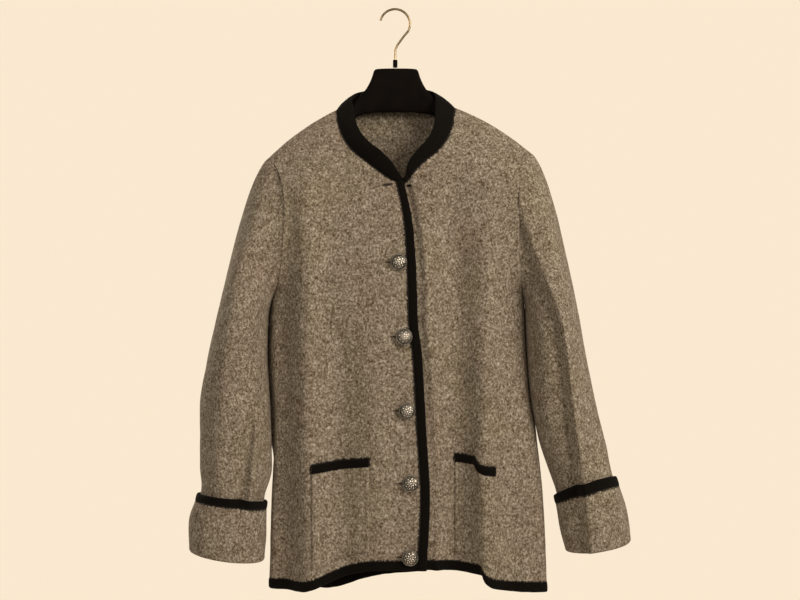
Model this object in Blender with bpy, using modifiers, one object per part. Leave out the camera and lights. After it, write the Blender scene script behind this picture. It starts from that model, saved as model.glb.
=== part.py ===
"""A tyrolean loden jacket, buttoned, on the contoured hanger that holds it up.

Metres, +Z up. The front faces -Y and the wearer's right side is at -X. The origin is under the
top of the hanger's hook, where a peg or a rail carries it. The cloth is one surface, worked out
from the lines that bound its panels. It is split at its seams, and each panel gets its own wall.
"""

import math

import bmesh
import bpy
import numpy as np
from mathutils import Vector
from mathutils.bvhtree import BVHTree

# Cloth and trim: each binding and the collar stand a little out from the cloth's face and
# reach a little deeper, and what lies on the cloth keeps LAYER_GAP to it.
CLOTH = 0.003
SEAM_GAP = 0.0004
BINDING_OUT = 0.0008
BINDING_IN = 0.0036
COLLAR_OUT = 0.0005
COLLAR_IN = 0.0035
LAYER_GAP = 0.0004
# Width of the front edges' binding by level.
BINDING_WIDTH = ((0.00, 0.0126), (1.00, 0.0124), (1.35, 0.0108), (1.75, 0.0095), (2.00, 0.0095))
# Two panels share a normal at their seam unless they meet in a valley sharper than this, as
# the sine of the turn. The mitre there is never deeper than the wall over LEAST_MITRE.
VALLEY = 0.22
LEAST_MITRE = 0.75

# Levels: 0 at the hem, 1 at the underarm, 2 at the shoulder seam.
BINDING_TOP = 0.032
POCKET_FOOT = 0.07
POCKET_BINDING = 0.396
POCKET_TOP = 0.422
NECK = 1.55
BODY_LEVELS = (0.0, BINDING_TOP, POCKET_FOOT, 0.15, 0.235, 0.32, POCKET_BINDING, POCKET_TOP,
               0.52, 0.61, 0.71, 0.81, 0.91, 1.0)
ARM_LEVELS = (1.12, 1.24, 1.36, 1.46, NECK, 1.62, 1.69, 1.77, 1.85, 1.93, 2.0)
LEVELS = BODY_LEVELS + ARM_LEVELS

# Columns of a front, as shares of the way from its edge binding to its side. Each pocket runs
# between the two columns that POCKET_COLUMNS gives.
FRONT_SHARES = {
    "right": (0.0, 0.10, 0.20, 0.305, 0.40, 0.50, 0.60, 0.70, 0.80, 0.90, 1.0),
    "left": (0.0, 0.160, 0.215, 0.325, 0.42, 0.51, 0.60, 0.69, 0.79, 0.90, 1.0),
}
POCKET_COLUMNS = (3, 7)
BACK_SHARES = tuple(i / 10 for i in range(11))
NECK_SHARES = (0.0, 0.12, 0.24)
NECK_SHARE = 0.36

# Bounding lines. Columns: level, x, y, z.
FRONT_EDGE = {
    "right": ((0.00, 0.0455, -0.0760, -0.8185),
              (0.25, 0.0500, -0.0800, -0.7163),
              (0.50, 0.0445, -0.0830, -0.6140),
              (0.75, 0.0388, -0.0830, -0.5120),
              (0.87, 0.0328, -0.0820, -0.4610),
              (1.00, 0.0315, -0.0800, -0.4100),
              (1.25, 0.0270, -0.0720, -0.3350),
              (1.46, 0.0180, -0.0629, -0.2810),
              (NECK, 0.0118, -0.0580, -0.2590)),
    "left": ((0.00, 0.0005, -0.0760, -0.8150),
             (0.25, 0.0050, -0.0800, -0.7140),
             (0.50, -0.0005, -0.0830, -0.6120),
             (0.75, -0.0040, -0.0830, -0.5100),
             (1.00, -0.0090, -0.0800, -0.4090),
             (1.25, -0.0110, -0.0720, -0.3350),
             (1.46, -0.0040, -0.0620, -0.2820),
             (NECK, 0.0045, -0.0580, -0.2600)),
}
NECKLINE = {
    "right": ((NECK, -0.0015, -0.0580, -0.2605),
              (1.62, -0.0125, -0.0575, -0.2535),
              (1.69, -0.0340, -0.0555, -0.2370),
              (1.77, -0.0600, -0.0485, -0.2155),
              (1.85, -0.0750, -0.0380, -0.1940),
              (1.93, -0.0830, -0.0250, -0.1715),
              (2.00, -0.0865, -0.0080, -0.1495)),
    "left": ((NECK, 0.0180, -0.0570, -0.2590),
             (1.62, 0.0265, -0.0570, -0.2475),
             (1.69, 0.0420, -0.0545, -0.2315),
             (1.77, 0.0600, -0.0490, -0.2165),
             (1.85, 0.0745, -0.0395, -0.1975),
             (1.93, 0.0840, -0.0255, -0.1730),
             (2.00, 0.0880, -0.0080, -0.1460)),
}
# The side seam, then the front half of the armhole.
FRONT_SIDE = {
    "right": ((0.00, -0.1835, -0.0380, -0.8500),
              (0.30, -0.1800, -0.0380, -0.7246),
              (0.58, -0.1745, -0.0380, -0.6076),
              (0.80, -0.1808, -0.0360, -0.5150),
              (1.00, -0.1785, -0.0320, -0.4320),
              (1.12, -0.1690, -0.0540, -0.4080),
              (1.24, -0.1630, -0.0640, -0.3800),
              (1.36, -0.1600, -0.0680, -0.3500),
              (NECK, -0.1580, -0.0660, -0.3000),
              (1.69, -0.1615, -0.0600, -0.2680),
              (1.85, -0.1725, -0.0480, -0.2380),
              (1.93, -0.1790, -0.0400, -0.2290),
              (2.00, -0.1850, -0.0300, -0.2235)),
    "left": ((0.00, 0.2205, -0.0520, -0.8530),
             (0.30, 0.2150, -0.0500, -0.7270),
             (0.50, 0.2070, -0.0460, -0.6420),
             (0.66, 0.1960, -0.0420, -0.5750),
             (0.82, 0.1905, -0.0380, -0.5080),
             (1.00, 0.1870, -0.0340, -0.4320),
             (1.12, 0.1830, -0.0540, -0.4080),
             (1.24, 0.1800, -0.0640, -0.3800),
             (1.36, 0.1780, -0.0680, -0.3500),
             (NECK, 0.1780, -0.0660, -0.3000),
             (1.69, 0.1805, -0.0600, -0.2660),
             (1.85, 0.1890, -0.0480, -0.2340),
             (1.93, 0.1940, -0.0400, -0.2230),
             (2.00, 0.1990, -0.0300, -0.2165)),
}
# The back half of the armhole.
BACK_ARM = {
    "right": ((1.00, -0.1785, -0.0320, -0.4320),
              (1.12, -0.1738, -0.0100, -0.4080),
              (1.24, -0.1690, 0.0040, -0.3800),
              (1.36, -0.1668, 0.0120, -0.3500),
              (NECK, -0.1655, 0.0150, -0.3000),
              (1.69, -0.1670, 0.0100, -0.2680),
              (1.85, -0.1740, -0.0060, -0.2380),
              (1.93, -0.1800, -0.0180, -0.2290),
              (2.00, -0.1850, -0.0300, -0.2235)),
    "left": ((1.00, 0.1870, -0.0340, -0.4320),
             (1.12, 0.1850, -0.0100, -0.4080),
             (1.24, 0.1830, 0.0040, -0.3800),
             (1.36, 0.1820, 0.0120, -0.3500),
             (NECK, 0.1820, 0.0150, -0.3000),
             (1.69, 0.1835, 0.0100, -0.2660),
             (1.85, 0.1895, -0.0060, -0.2340),
             (1.93, 0.1940, -0.0180, -0.2230),
             (2.00, 0.1990, -0.0300, -0.2165)),
}
CENTRE_BACK = ((0.00, 0.0100, 0.0400, -0.8465),
               (0.50, 0.0080, 0.0400, -0.6400),
               (1.00, 0.0040, 0.0360, -0.4250),
               (1.36, 0.0030, 0.0330, -0.3200),
               (1.69, 0.0020, 0.0270, -0.2250),
               (1.85, 0.0020, 0.0230, -0.1800),
               (2.00, 0.0020, 0.0180, -0.1420))
# How square a row turns from the front or the back to the side: 1 is a straight line.
FRONT_TURN = ((0.0, 2.6), (0.8, 2.5), (1.0, 2.2), (1.24, 1.5), (NECK, 1.0), (2.0, 1.0))
BACK_TURN = ((0.0, 3.0), (1.0, 2.8), (1.24, 2.2), (NECK, 1.8), (1.85, 1.2), (2.0, 1.0))
# Where along the right front's row, from 0 at its edge to 1 at its side, the hem drops.
HEM_DROP = (0.31, 0.85)
# The left front drops past a crease at this x. Columns: level, share of the drop, its run.
CREASE_X = 0.1180
CREASE_DROP = (
    (0.00, 0.60, 0.012),
    (0.25, 0.48, 0.008),
    (0.42, 0.38, 0.004),
    (0.60, 0.08, 0.010),
    (0.75, 0.00, 0.020),
    (2.00, 0.00, 0.020),
)
# How far the back's hem hangs down between its middle and its side, most near the side.
BACK_HEM_DIP = {"right": 0.0190, "left": -0.0095}
BACK_DIP_TOP, BACK_DIP_POWER = 0.6, 1.1
# How far the back's sides stand out behind the sleeves. Columns: level, distance.
BACK_FULLNESS = {
    "right": ((0.00, 0.0), (0.40, 0.0), (0.54, 0.0158), (0.70, 0.0150), (0.80, 0.0118),
              (0.94, 0.0088), (1.00, 0.0), (2.00, 0.0)),
    "left": ((0.00, 0.0), (0.42, 0.0), (0.58, 0.0070), (0.80, 0.0070), (0.95, 0.0), (2.00, 0.0)),
}
# Up to the first of these levels a row runs as the hem does, and from the second straight.
HEM_LEVEL, STRAIGHT_LEVEL = 0.08, 0.36
SHOULDER_ARCH = 0.0065
# How far the left front lies back under the right one, and where past its edge that ends.
UNDERLAP = 0.0068
UNDERLAP_START, UNDERLAP_END = 0.0045, 0.0145

# Folds that hang from the shoulders. Columns: side, x and z at the top, x and z at the foot,
# half width, and how far the cloth stands forward.
FOLDS = (
    ("right", -0.150, -0.300, -0.148, -0.900, 0.016, -0.009),  # valley beside the sleeve
    ("right", -0.105, -0.360, -0.120, -0.900, 0.018, 0.012),   # ridge over the pocket
    ("right", -0.078, -0.380, -0.080, -0.700, 0.012, -0.004),
    ("right", -0.050, -0.720, -0.055, -0.900, 0.022, -0.010),  # the hem lifts here
    ("left", 0.118, -0.250, 0.104, -0.900, 0.024, -0.018),     # broad valley
    ("left", 0.150, -0.420, 0.136, -0.900, 0.018, 0.014),      # ridge beyond it
    ("left", 0.076, -0.420, 0.074, -0.760, 0.013, 0.004),
    ("back", -0.090, -0.330, -0.110, -0.900, 0.022, -0.006),
    ("back", 0.100, -0.330, 0.120, -0.900, 0.024, -0.008),
)
FOLD_FADE = 0.10
# The folds start between these shares of a row, and die out at its side.
FOLD_START = (0.05, 0.30)
FOLD_SIDE_POWER = 8

# Sleeve rings under the armhole. Columns: z, centre x, centre y, half width, half depth, and how
# far a ring tilts to the side and leans back.
SLEEVE_RINGS = {
    "right": ((-0.462, -0.2228, -0.0330, 0.0378, 0.0660, 0.00, 0.00),
              (-0.520, -0.2290, -0.0380, 0.0438, 0.0600, 0.00, 0.00),
              (-0.585, -0.2320, -0.0430, 0.0505, 0.0530, 0.00, 0.00),
              (-0.672, -0.2300, -0.0474, 0.0516, 0.0464, -0.03, 0.02),
              (-0.712, -0.2342, -0.0505, 0.0456, 0.0430, -0.12, 0.10),
              (-0.757, -0.2416, -0.0515, 0.0494, 0.0410, -0.13, 0.05),
              (-0.7970, -0.2425, -0.0520, 0.0499, 0.0420, -0.15, 0.00)),
    "left": ((-0.462, 0.2298, -0.0330, 0.0390, 0.0660, 0.00, 0.00),
             (-0.520, 0.2361, -0.0380, 0.0429, 0.0600, 0.00, 0.00),
             (-0.578, 0.2443, -0.0430, 0.0462, 0.0530, 0.00, 0.00),
             (-0.632, 0.2555, -0.0470, 0.0470, 0.0470, 0.05, 0.04),
             (-0.695, 0.2735, -0.0500, 0.0400, 0.0430, 0.29, 0.28),
             (-0.745, 0.2862, -0.0510, 0.0418, 0.0410, 0.23, 0.10),
             (-0.7835, 0.2932, -0.0520, 0.0422, 0.0420, 0.17, 0.02)),
}
SLEEVE_CAP_STEPS = (0.10, 0.22, 0.36, 0.52, 0.70, 0.86)
SLEEVE_LEVELS = (0.0, 1.0, 2.0, 3.0, 4.1, 4.33, 6.0)
# Angles in degrees at which the sleeve's cap leaves the armhole: at the underarm, from half
# height up, and how much less at the shoulder.
CAP_START, CAP_SPREAD, CAP_LEAN = 27.0, 60.0, 6.0
CAP_EASE = 0.56

# Turned-back cuff, as ring levels of the sleeve and steps out from its face.
CUFF_BINDING_TOP, CUFF_TOP, CUFF_FOOT = 4.1, 4.33, 6.0
CUFF_OUT = 0.0045
CUFF_GAP = 0.0009
CUFF_ROUND = 0.0012
CUFF_TURN_GAP = 0.0012
CUFF_DEPTH = 0.0040

# Top edge of the collar. Columns: place (0 centre front, 1 shoulder, 2 centre back), x, y, z.
COLLAR_TOP = {
    "right": ((0.00, 0.0108, -0.0585, -0.2560),
              (0.15, 0.0021, -0.0620, -0.2435),
              (0.30, -0.0049, -0.0630, -0.2329),
              (0.50, -0.0200, -0.0615, -0.2170),
              (0.70, -0.0400, -0.0530, -0.2000),
              (0.86, -0.0560, -0.0380, -0.1740),
              (1.00, -0.0640, -0.0080, -0.1321),
              (1.35, -0.0500, 0.0110, -0.1190),
              (2.00, 0.0020, 0.0170, -0.1140)),
    "left": ((0.00, 0.0155, -0.0530, -0.2540),
             (0.15, 0.0168, -0.0590, -0.2420),
             (0.30, 0.0212, -0.0630, -0.2304),
             (0.50, 0.0332, -0.0610, -0.2148),
             (0.70, 0.0480, -0.0530, -0.1968),
             (0.86, 0.0580, -0.0380, -0.1710),
             (1.00, 0.0600, -0.0080, -0.1288),
             (1.35, 0.0500, 0.0120, -0.1165),
             (2.00, 0.0020, 0.0170, -0.1140)),
}

# How far the collar's middle stands out, as a share of its height.
COLLAR_BULGE = 0.05

# Buttons: x, z. The profile gives radius and height above the foot of the button's shank.
BUTTONS = (
    (0.0060, -0.3780),
    (0.0131, -0.4844),
    (0.0174, -0.5891),
    (0.0230, -0.6925),
    (0.0216, -0.7980),
)
BUTTON_PROFILE = (
    (0.0, 0.0084),
    (0.0040, 0.0081),
    (0.0078, 0.0068),
    (0.0102, 0.0048),
    (0.0108, 0.0042),
    (0.0117, 0.0040),
    (0.0119, 0.0028),
    (0.0112, 0.0022),
    (0.0030, 0.0022),
    (0.0030, 0.0),
    (0.0, 0.0),
)
BUTTON_SIDES = 16

# Hanger body, one row for a section. Columns: x, y, top z, foot z, half thickness, and how
# peaked its upper half is: under 1 is a plate with round edges, over 1 a ridge.
HANGER_SECTIONS = (
    (0.0000, 0.0000, -0.0855, -0.1535, 0.0050, 0.7),
    (0.0290, 0.0000, -0.0857, -0.1537, 0.0050, 0.7),
    (0.0328, 0.0000, -0.0880, -0.1542, 0.0050, 0.7),
    (0.0346, 0.0000, -0.0950, -0.1544, 0.0050, 0.7),
    (0.0377, -0.0003, -0.1045, -0.1547, 0.0050, 0.7),
    (0.0440, -0.0006, -0.1165, -0.1552, 0.0050, 0.7),
    (0.0500, -0.0012, -0.1235, -0.1564, 0.0048, 0.7),
    (0.0560, -0.0020, -0.1300, -0.1580, 0.0046, 0.8),
    (0.0680, -0.0060, -0.1460, -0.1690, 0.0050, 1.0),
    (0.0880, -0.0090, -0.1574, -0.1860, 0.0058, 1.5),
    (0.1015, -0.0125, -0.1672, -0.1970, 0.0075, 1.5),
    (0.1215, -0.0155, -0.1778, -0.2110, 0.0090, 1.5),
    (0.1415, -0.0198, -0.1940, -0.2270, 0.0100, 1.5),
    (0.1615, -0.0238, -0.2090, -0.2400, 0.0105, 1.5),
    (0.1745, -0.0277, -0.2205, -0.2460, 0.0095, 1.5),
    (0.1785, -0.0285, -0.2275, -0.2440, 0.0060, 1.2),
)
HANGER_SIDES = 12
HANGER_FOOT_PEAK = 0.8
FERRULE_RADIUS, FERRULE_TOP, FERRULE_FOOT = 0.0034, -0.0745, -0.0852
WIRE = 0.0017
HOOK_RADIUS = 0.0222
# The hook's arc in degrees round its centre, and then its stem as x, z.
HOOK_TIP, HOOK_END = 166.0, -32.0
HOOK_STEPS = 16
STEM_X = 0.0003
BAR_X = 0.0015
STEM = (
    (0.0134, -0.0385),
    (0.0035, -0.0520),
    (STEM_X, -0.0590),
    (STEM_X, FERRULE_TOP + 0.0003),
)

SMOOTH_ANGLE = 35.0
SIDES = ("right", "left")
SIGN = {"right": -1.0, "left": 1.0}


def through(table, where, column=None):
    """A smooth run through a table's rows, with no overshoot between them."""
    rows = np.array(table, float)
    knots, values = rows[:, 0], rows[:, 1:]
    step = np.diff(knots)[:, None]
    slope = np.diff(values, axis=0) / step
    tangent = np.zeros_like(values)
    before, after = slope[:-1], slope[1:]
    near, far = 2 * step[1:] + step[:-1], step[1:] + 2 * step[:-1]
    same = before * after > 0
    safe_before = np.where(same, before, 1.0)
    safe_after = np.where(same, after, 1.0)
    tangent[1:-1] = np.where(same, (near + far) / (near / safe_before + far / safe_after), 0.0)
    tangent[0], tangent[-1] = slope[0], slope[-1]
    where = np.atleast_1d(np.asarray(where, float))
    i = np.clip(np.searchsorted(knots, where, side="right") - 1, 0, len(knots) - 2)
    t = ((where - knots[i]) / (knots[i + 1] - knots[i]))[:, None]
    run = step[i]
    found = (
        (2 * t**3 - 3 * t**2 + 1) * values[i]
        + (t**3 - 2 * t**2 + t) * run * tangent[i]
        + (3 * t**2 - 2 * t**3) * values[i + 1]
        + (t**3 - t**2) * run * tangent[i + 1]
    )
    return found if column is None else found[:, column]


def ease(value, start=0.0, end=1.0):
    """0 before start, 1 after end, with a soft run between them."""
    t = np.clip((value - start) / (end - start), 0.0, 1.0)
    return t * t * (3 - 2 * t)


def fold_push(side, x, z):
    """How far the folds of one side move the cloth forward at these places."""
    push = np.zeros_like(x)
    for fold_side, top_x, top_z, foot_x, foot_z, half, height in FOLDS:
        if fold_side != side:
            continue
        share = (z - foot_z) / (top_z - foot_z)
        middle = foot_x + (top_x - foot_x) * share
        fade = ease(top_z - z, -FOLD_FADE / 2, FOLD_FADE) * ease(z - foot_z, -FOLD_FADE, 0.0)
        push += height * fade * np.exp(-(((x - middle) / half) ** 2))
    return push


def resample(line, shares):
    """Points at these shares of a line's length."""
    run = np.concatenate([[0.0], np.cumsum(np.linalg.norm(np.diff(line, axis=0), axis=1))])
    places = np.asarray(shares) * run[-1]
    return np.stack([np.interp(places, run, line[:, i]) for i in range(3)], axis=1)


def length_of(line):
    return float(np.linalg.norm(np.diff(line, axis=0), axis=1).sum())


def row_between(start, end, turn):
    """The dense row from a middle line to a side line, square or straight as turn says."""
    share = np.sin(np.linspace(0.0, math.pi / 2, 121))
    share[-1] = 1.0
    x = start[0] + (end[0] - start[0]) * share
    y = end[1] + (start[1] - end[1]) * (1 - share**turn) ** (1 / turn)
    return x, y, share


def row_drop(side, level, x, share):
    """How far a front's row has come from its edge's height to its side's height."""
    if side == "left":
        taken, run = through(CREASE_DROP, level)[0]
        past = 1 - np.exp(-np.maximum(x - CREASE_X, 0.0) / run)
        return (1 - taken) * share + taken * past / past[-1]
    return hem_or_straight(ease(share, *HEM_DROP), share, level)


def hem_or_straight(hem, share, level):
    straight = ease(level, HEM_LEVEL, STRAIGHT_LEVEL)
    return (1 - straight) * hem + straight * share


def front_row(side, level):
    """One row of a front, from its edge or neckline to its side or armhole."""
    start = through(FRONT_EDGE[side] if level <= NECK else NECKLINE[side], level)[0]
    end = through(FRONT_SIDE[side], level)[0]
    turn = through(FRONT_TURN, level, 0)[0]
    x, y, share = row_between(start, end, turn)
    z = start[2] + (end[2] - start[2]) * row_drop(side, level, x, share)
    y = y - fold_push(side, x, z) * (1 - share**FOLD_SIDE_POWER) * ease(share, *FOLD_START)
    z = z + SHOULDER_ARCH * 4 * share * (1 - share) * ease(level, 1.6, 2.0)
    if side == "left":
        edge = through(FRONT_EDGE["right"], min(level, NECK), 0)[0]
        y = y + UNDERLAP * (1 - ease(x, edge + UNDERLAP_START, edge + UNDERLAP_END))
    return np.stack([x, y, z], axis=1)


def front_grid(side):
    rows = []
    for level in LEVELS:
        line = front_row(side, level)
        first = through(BINDING_WIDTH, level, 0)[0] / length_of(line) if level <= NECK else 0.0
        shares = first + (1 - first) * np.array(FRONT_SHARES[side])
        rows.append(resample(line, np.concatenate([[0.0], shares])))
    return np.array(rows)


def back_half(side, level):
    """One half row of the back, from the centre back to the side or armhole."""
    start = through(CENTRE_BACK, level)[0]
    end = through(FRONT_SIDE[side] if level <= 1.0 else BACK_ARM[side], level)[0]
    x, y, share = row_between(start, end, through(BACK_TURN, level, 0)[0])
    z = start[2] + (end[2] - start[2]) * hem_or_straight(ease(share), share, level)
    behind = (y - end[1]) / (start[1] - end[1])
    full = through(BACK_FULLNESS[side], level, 0)[0]
    x = x + SIGN[side] * full * np.sin(math.pi * behind)
    y = y + fold_push("back", x, z) * (1 - share**FOLD_SIDE_POWER)
    dip = np.sin(math.pi * share**BACK_DIP_POWER) ** 2 * (1 - ease(level, 0.0, BACK_DIP_TOP))
    z = z - BACK_HEM_DIP[side] * dip
    return np.stack([x, y, z], axis=1)


def back_shares():
    outer = NECK_SHARE + (1 - NECK_SHARE) * np.array(BACK_SHARES)
    return np.concatenate([NECK_SHARES, outer])


def back_grid(fronts):
    """The back from right to left, joined to the fronts at the shoulders and sides."""
    halves = {}
    shares = back_shares()
    for side in SIDES:
        rows = np.array([resample(back_half(side, level), shares) for level in LEVELS])
        neck = through(NECKLINE[side], 2.0)[0]
        middle = rows[-1, 0]
        top = rows[-1].copy()
        for i, share in enumerate(shares):
            if share < NECK_SHARE:
                angle = share / NECK_SHARE * math.pi / 2
                top[i, 0] = middle[0] + (neck[0] - middle[0]) * math.sin(angle)
                top[i, 1:] = neck[1:] + (middle[1:] - neck[1:]) * math.cos(angle)
        top[len(NECK_SHARES):] = fronts[side][-1, 1:]
        lift = top - rows[-1]
        weight = ease(np.array(LEVELS), 1.5, 2.0)
        rows += weight[:, None, None] * lift[None]
        rows[-1] = top
        below = len(BODY_LEVELS)
        rows[:below, -1] = fronts[side][:below, -1]
        halves[side] = rows
    return np.concatenate([halves["right"][:, ::-1], halves["left"][:, 1:]], axis=1)


def armhole(side, front, back):
    """The armhole's points, from the underarm up its front and down its back."""
    first = len(BODY_LEVELS) - 1
    column = 0 if side == "right" else -1
    return np.concatenate([front[first:, -1], back[first + 1:-1, column][::-1]])


def sleeve_ring(side, level, angles, out=0.0):
    """A ring of the sleeve at a row of its table, or between rows."""
    table = [(i,) + row for i, row in enumerate(SLEEVE_RINGS[side])]
    z, cx, cy, half_width, half_depth, tilt, lean = through(table, level)[0]
    x = -SIGN[side] * (half_width + out) * np.cos(angles)
    y = cy - (half_depth + out) * np.sin(angles)
    return np.stack([cx + x, y, z + tilt * x - lean * (y - cy)], axis=1)


def sleeve_angles(loop):
    """The angle round the sleeve of each armhole point: 0 at the underarm, pi at the shoulder."""
    tip = len(ARM_LEVELS)
    closed = np.concatenate([loop, loop[:1]])
    run = np.concatenate([[0.0], np.cumsum(np.linalg.norm(np.diff(closed, axis=0), axis=1))])
    up = run[: tip + 1] / run[tip] * math.pi
    down = math.pi + (run[tip + 1:-1] - run[tip]) / (run[-1] - run[tip]) * math.pi
    return np.concatenate([up, down])


def sleeve_grid(side, loop):
    angles = sleeve_angles(loop)
    first_ring = sleeve_ring(side, 0.0, angles)
    height = (loop[:, 2] - loop[:, 2].min()) / np.ptp(loop[:, 2])
    rise = np.sin(math.pi / 2 * np.clip(2 * height, 0, 1))
    turn = np.radians(CAP_START + (CAP_SPREAD - CAP_START) * rise)
    turn = turn - np.radians(CAP_LEAN) * ease(height, 0.5, 1.0)
    ahead = sleeve_ring(side, 0.1, angles) - first_ring
    ahead = ahead / np.linalg.norm(ahead, axis=1)[:, None]
    leave = np.stack([SIGN[side] * np.sin(turn), np.zeros_like(turn), -np.cos(turn)], axis=1)
    leave = leave * (1 - CAP_EASE * ease(height, 0.5, 1.0))[:, None]
    reach = np.linalg.norm(first_ring - loop, axis=1)[:, None]
    rows = [loop]
    for t in SLEEVE_CAP_STEPS:
        rows.append(
            (2 * t**3 - 3 * t**2 + 1) * loop
            + (t**3 - 2 * t**2 + t) * reach * leave
            + (3 * t**2 - 2 * t**3) * first_ring
            + (t**3 - t**2) * reach * ahead
        )
    for level in SLEEVE_LEVELS:
        rows.append(sleeve_ring(side, level, angles))
    return np.array(rows), angles


def collar_half(side, front):
    """The collar's seam and top lines on one side, from the centre front to the shoulder."""
    first = LEVELS.index(NECK)
    seam = np.concatenate([front[first, :1], front[first:, 1]])
    run = np.concatenate([[0.0], np.cumsum(np.linalg.norm(np.diff(seam, axis=0), axis=1))])
    return seam, through(COLLAR_TOP[side], run / run[-1])


def collar_grid(fronts, back):
    right_seam, right_top = collar_half("right", fronts["right"])
    left_seam, left_top = collar_half("left", fronts["left"])
    neck = len(NECK_SHARES)
    middle = back.shape[1] // 2
    back_seam = back[-1, middle - neck: middle + neck + 1]
    share = np.array(NECK_SHARES) / NECK_SHARE
    right_back = through(COLLAR_TOP["right"], 2.0 - share[::-1])
    left_back = through(COLLAR_TOP["left"], 2.0 - share)
    seam = np.concatenate([right_seam, back_seam[1:-1], left_seam[::-1]])
    top = np.concatenate([right_top, right_back, left_back[1:], left_top[::-1]])
    middle_row = (seam + top) / 2
    rise = np.linalg.norm(top - seam, axis=1)[:, None]
    across = np.gradient(seam, axis=0)
    bulge = np.cross(top - seam, across)
    bulge /= np.linalg.norm(bulge, axis=1)[:, None]
    return np.array([seam, middle_row + bulge * rise * COLLAR_BULGE, top])


class Surface:
    """The whole cloth as one welded set of points and faces, split into named panels."""

    def __init__(self):
        self.points = []
        self.index = {}
        self.panels = {}
        self.own = {}
        self.turns = {}

    def add_points(self, grid):
        ids = np.zeros(grid.shape[:2], int)
        for place in np.ndindex(*ids.shape):
            key = tuple(int(round(value * 1e5)) for value in grid[place])
            if key not in self.index:
                self.index[key] = len(self.points)
                self.points.append(grid[place])
            ids[place] = self.index[key]
        return ids

    def add_panel(self, name, ids, flip):
        """The faces between the rows and columns of these points, their fronts facing out."""
        faces = []
        for row in range(ids.shape[0] - 1):
            for column in range(ids.shape[1] - 1):
                a, b = ids[row, column], ids[row, column + 1]
                d, c = ids[row + 1, column], ids[row + 1, column + 1]
                face = (a, d, c, b) if flip else (a, b, c, d)
                if len(set(face)) > 2:
                    faces.append(face)
        self.panels[name] = self.panels.get(name, []) + faces

    def normals(self, faces):
        """Each point's normal over these faces."""
        points = np.array(self.points)
        total = np.zeros_like(points)
        for face in faces:
            corners = points[list(face)]
            total[list(face)] += np.cross(corners[2] - corners[0], corners[3] - corners[1])
        size = np.linalg.norm(total, axis=1)
        return total / np.where(size > 0, size, 1.0)[:, None]

    def settle(self):
        """Finds each panel's normals, and how far the cloth turns at the seams."""
        points = np.array(self.points)
        self.own = {name: self.normals(faces) for name, faces in self.panels.items()}
        owners = {}
        for name, faces in self.panels.items():
            for face in faces:
                for pair in zip(face, face[1:] + face[:1]):
                    owners.setdefault(frozenset(pair), []).append((name, face))
        for pair, near in owners.items():
            if len(near) != 2 or near[0][0] == near[1][0] or len(pair) != 2:
                continue
            (first, face), (second, other) = near
            corners = points[list(face)]
            normal = np.cross(corners[2] - corners[0], corners[3] - corners[1])
            across = points[list(other)].mean(axis=0) - points[list(pair)].mean(axis=0)
            turn = across @ normal / np.linalg.norm(across) / np.linalg.norm(normal)
            for i in pair:
                met = self.turns.setdefault(i, {})
                met.setdefault(frozenset((first, second)), []).append(turn)

    def normal_at(self, name, i):
        """A panel's normal at a point, shared with the panels it meets there on a ridge or flat."""
        joined = {name}
        for _ in self.turns.get(i, {}):
            for pair, turns in self.turns[i].items():
                if pair & joined and np.mean(turns) < VALLEY:
                    joined |= pair
        total = sum(self.own[other][i] for other in sorted(joined))
        return total / np.linalg.norm(total)

    def wall(self, name, out, into):
        """A closed wall on a panel, reaching out and into the cloth, with a gap at each seam."""
        faces = self.panels[name]
        points = np.array(self.points)
        used = sorted({i for face in faces for i in face})
        inward = np.zeros_like(points)
        for face in faces:
            for i in face:
                inward[i] += points[list(face)].mean(axis=0) - points[i]
        outer, inner = [], []
        for i in used:
            normal = self.normal_at(name, i)
            deep = into / max(self.own[name][i] @ normal, LEAST_MITRE)
            point = points[i].copy()
            if i in self.turns:
                step = inward[i] - normal * (inward[i] @ normal)
                point += step / np.linalg.norm(step) * SEAM_GAP / 2
            outer.append(point + normal * out)
            inner.append(point - normal * deep)
        place = {i: n for n, i in enumerate(used)}
        count = len(used)
        quads = [tuple(place[i] for i in face) for face in faces]
        ends = {pair for face in quads for pair in zip(face, face[1:] + face[:1])}
        sides = [(a, b) for a, b in sorted(ends) if a != b and (b, a) not in ends]
        skin = [corner for a, b, c, d in quads for corner in ((a, b, c), (a, c, d))]
        mesh_faces = skin + [tuple(i + count for i in reversed(face)) for face in skin]
        for a, b in sides:
            low, high = min(a, b), max(a, b)
            mesh_faces += [(b, a, high + count), (a + count, b + count, low)]
        return add_mesh(name, outer + inner, mesh_faces)


def add_mesh(name, points, faces):
    mesh = bpy.data.meshes.new(name)
    cleaned = [tuple(dict.fromkeys(face)) for face in faces]
    mesh.from_pydata([tuple(point) for point in points], [], cleaned)
    mesh.update()
    obj = bpy.data.objects.new(name, mesh)
    bpy.data.collections["Jacket"].objects.link(obj)
    return obj


def ring_faces(first, second, count):
    """The faces between two rings of points that start at these indices."""
    pairs = [(i, (i + 1) % count) for i in range(count)]
    return [(first + i, first + j, second + j, second + i) for i, j in pairs]


def tube(name, rings):
    """A wall whose section is a closed outline, with one ring of points for each of its corners."""
    rings = np.array(rings)
    count = rings.shape[1]
    faces = []
    for ring in range(len(rings)):
        faces += ring_faces(ring * count, (ring + 1) % len(rings) * count, count)
    obj = add_mesh(name, rings.reshape(-1, 3), faces)
    face_outwards(obj)
    return obj


def face_outwards(obj):
    data = bmesh.new()
    data.from_mesh(obj.data)
    bmesh.ops.recalc_face_normals(data, faces=data.faces)
    data.to_mesh(obj.data)
    data.free()


def finish(obj, material):
    obj.data.materials.append(material)
    obj.data.shade_smooth()
    obj.data.set_sharp_from_angle(angle=math.radians(SMOOTH_ANGLE))


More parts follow.
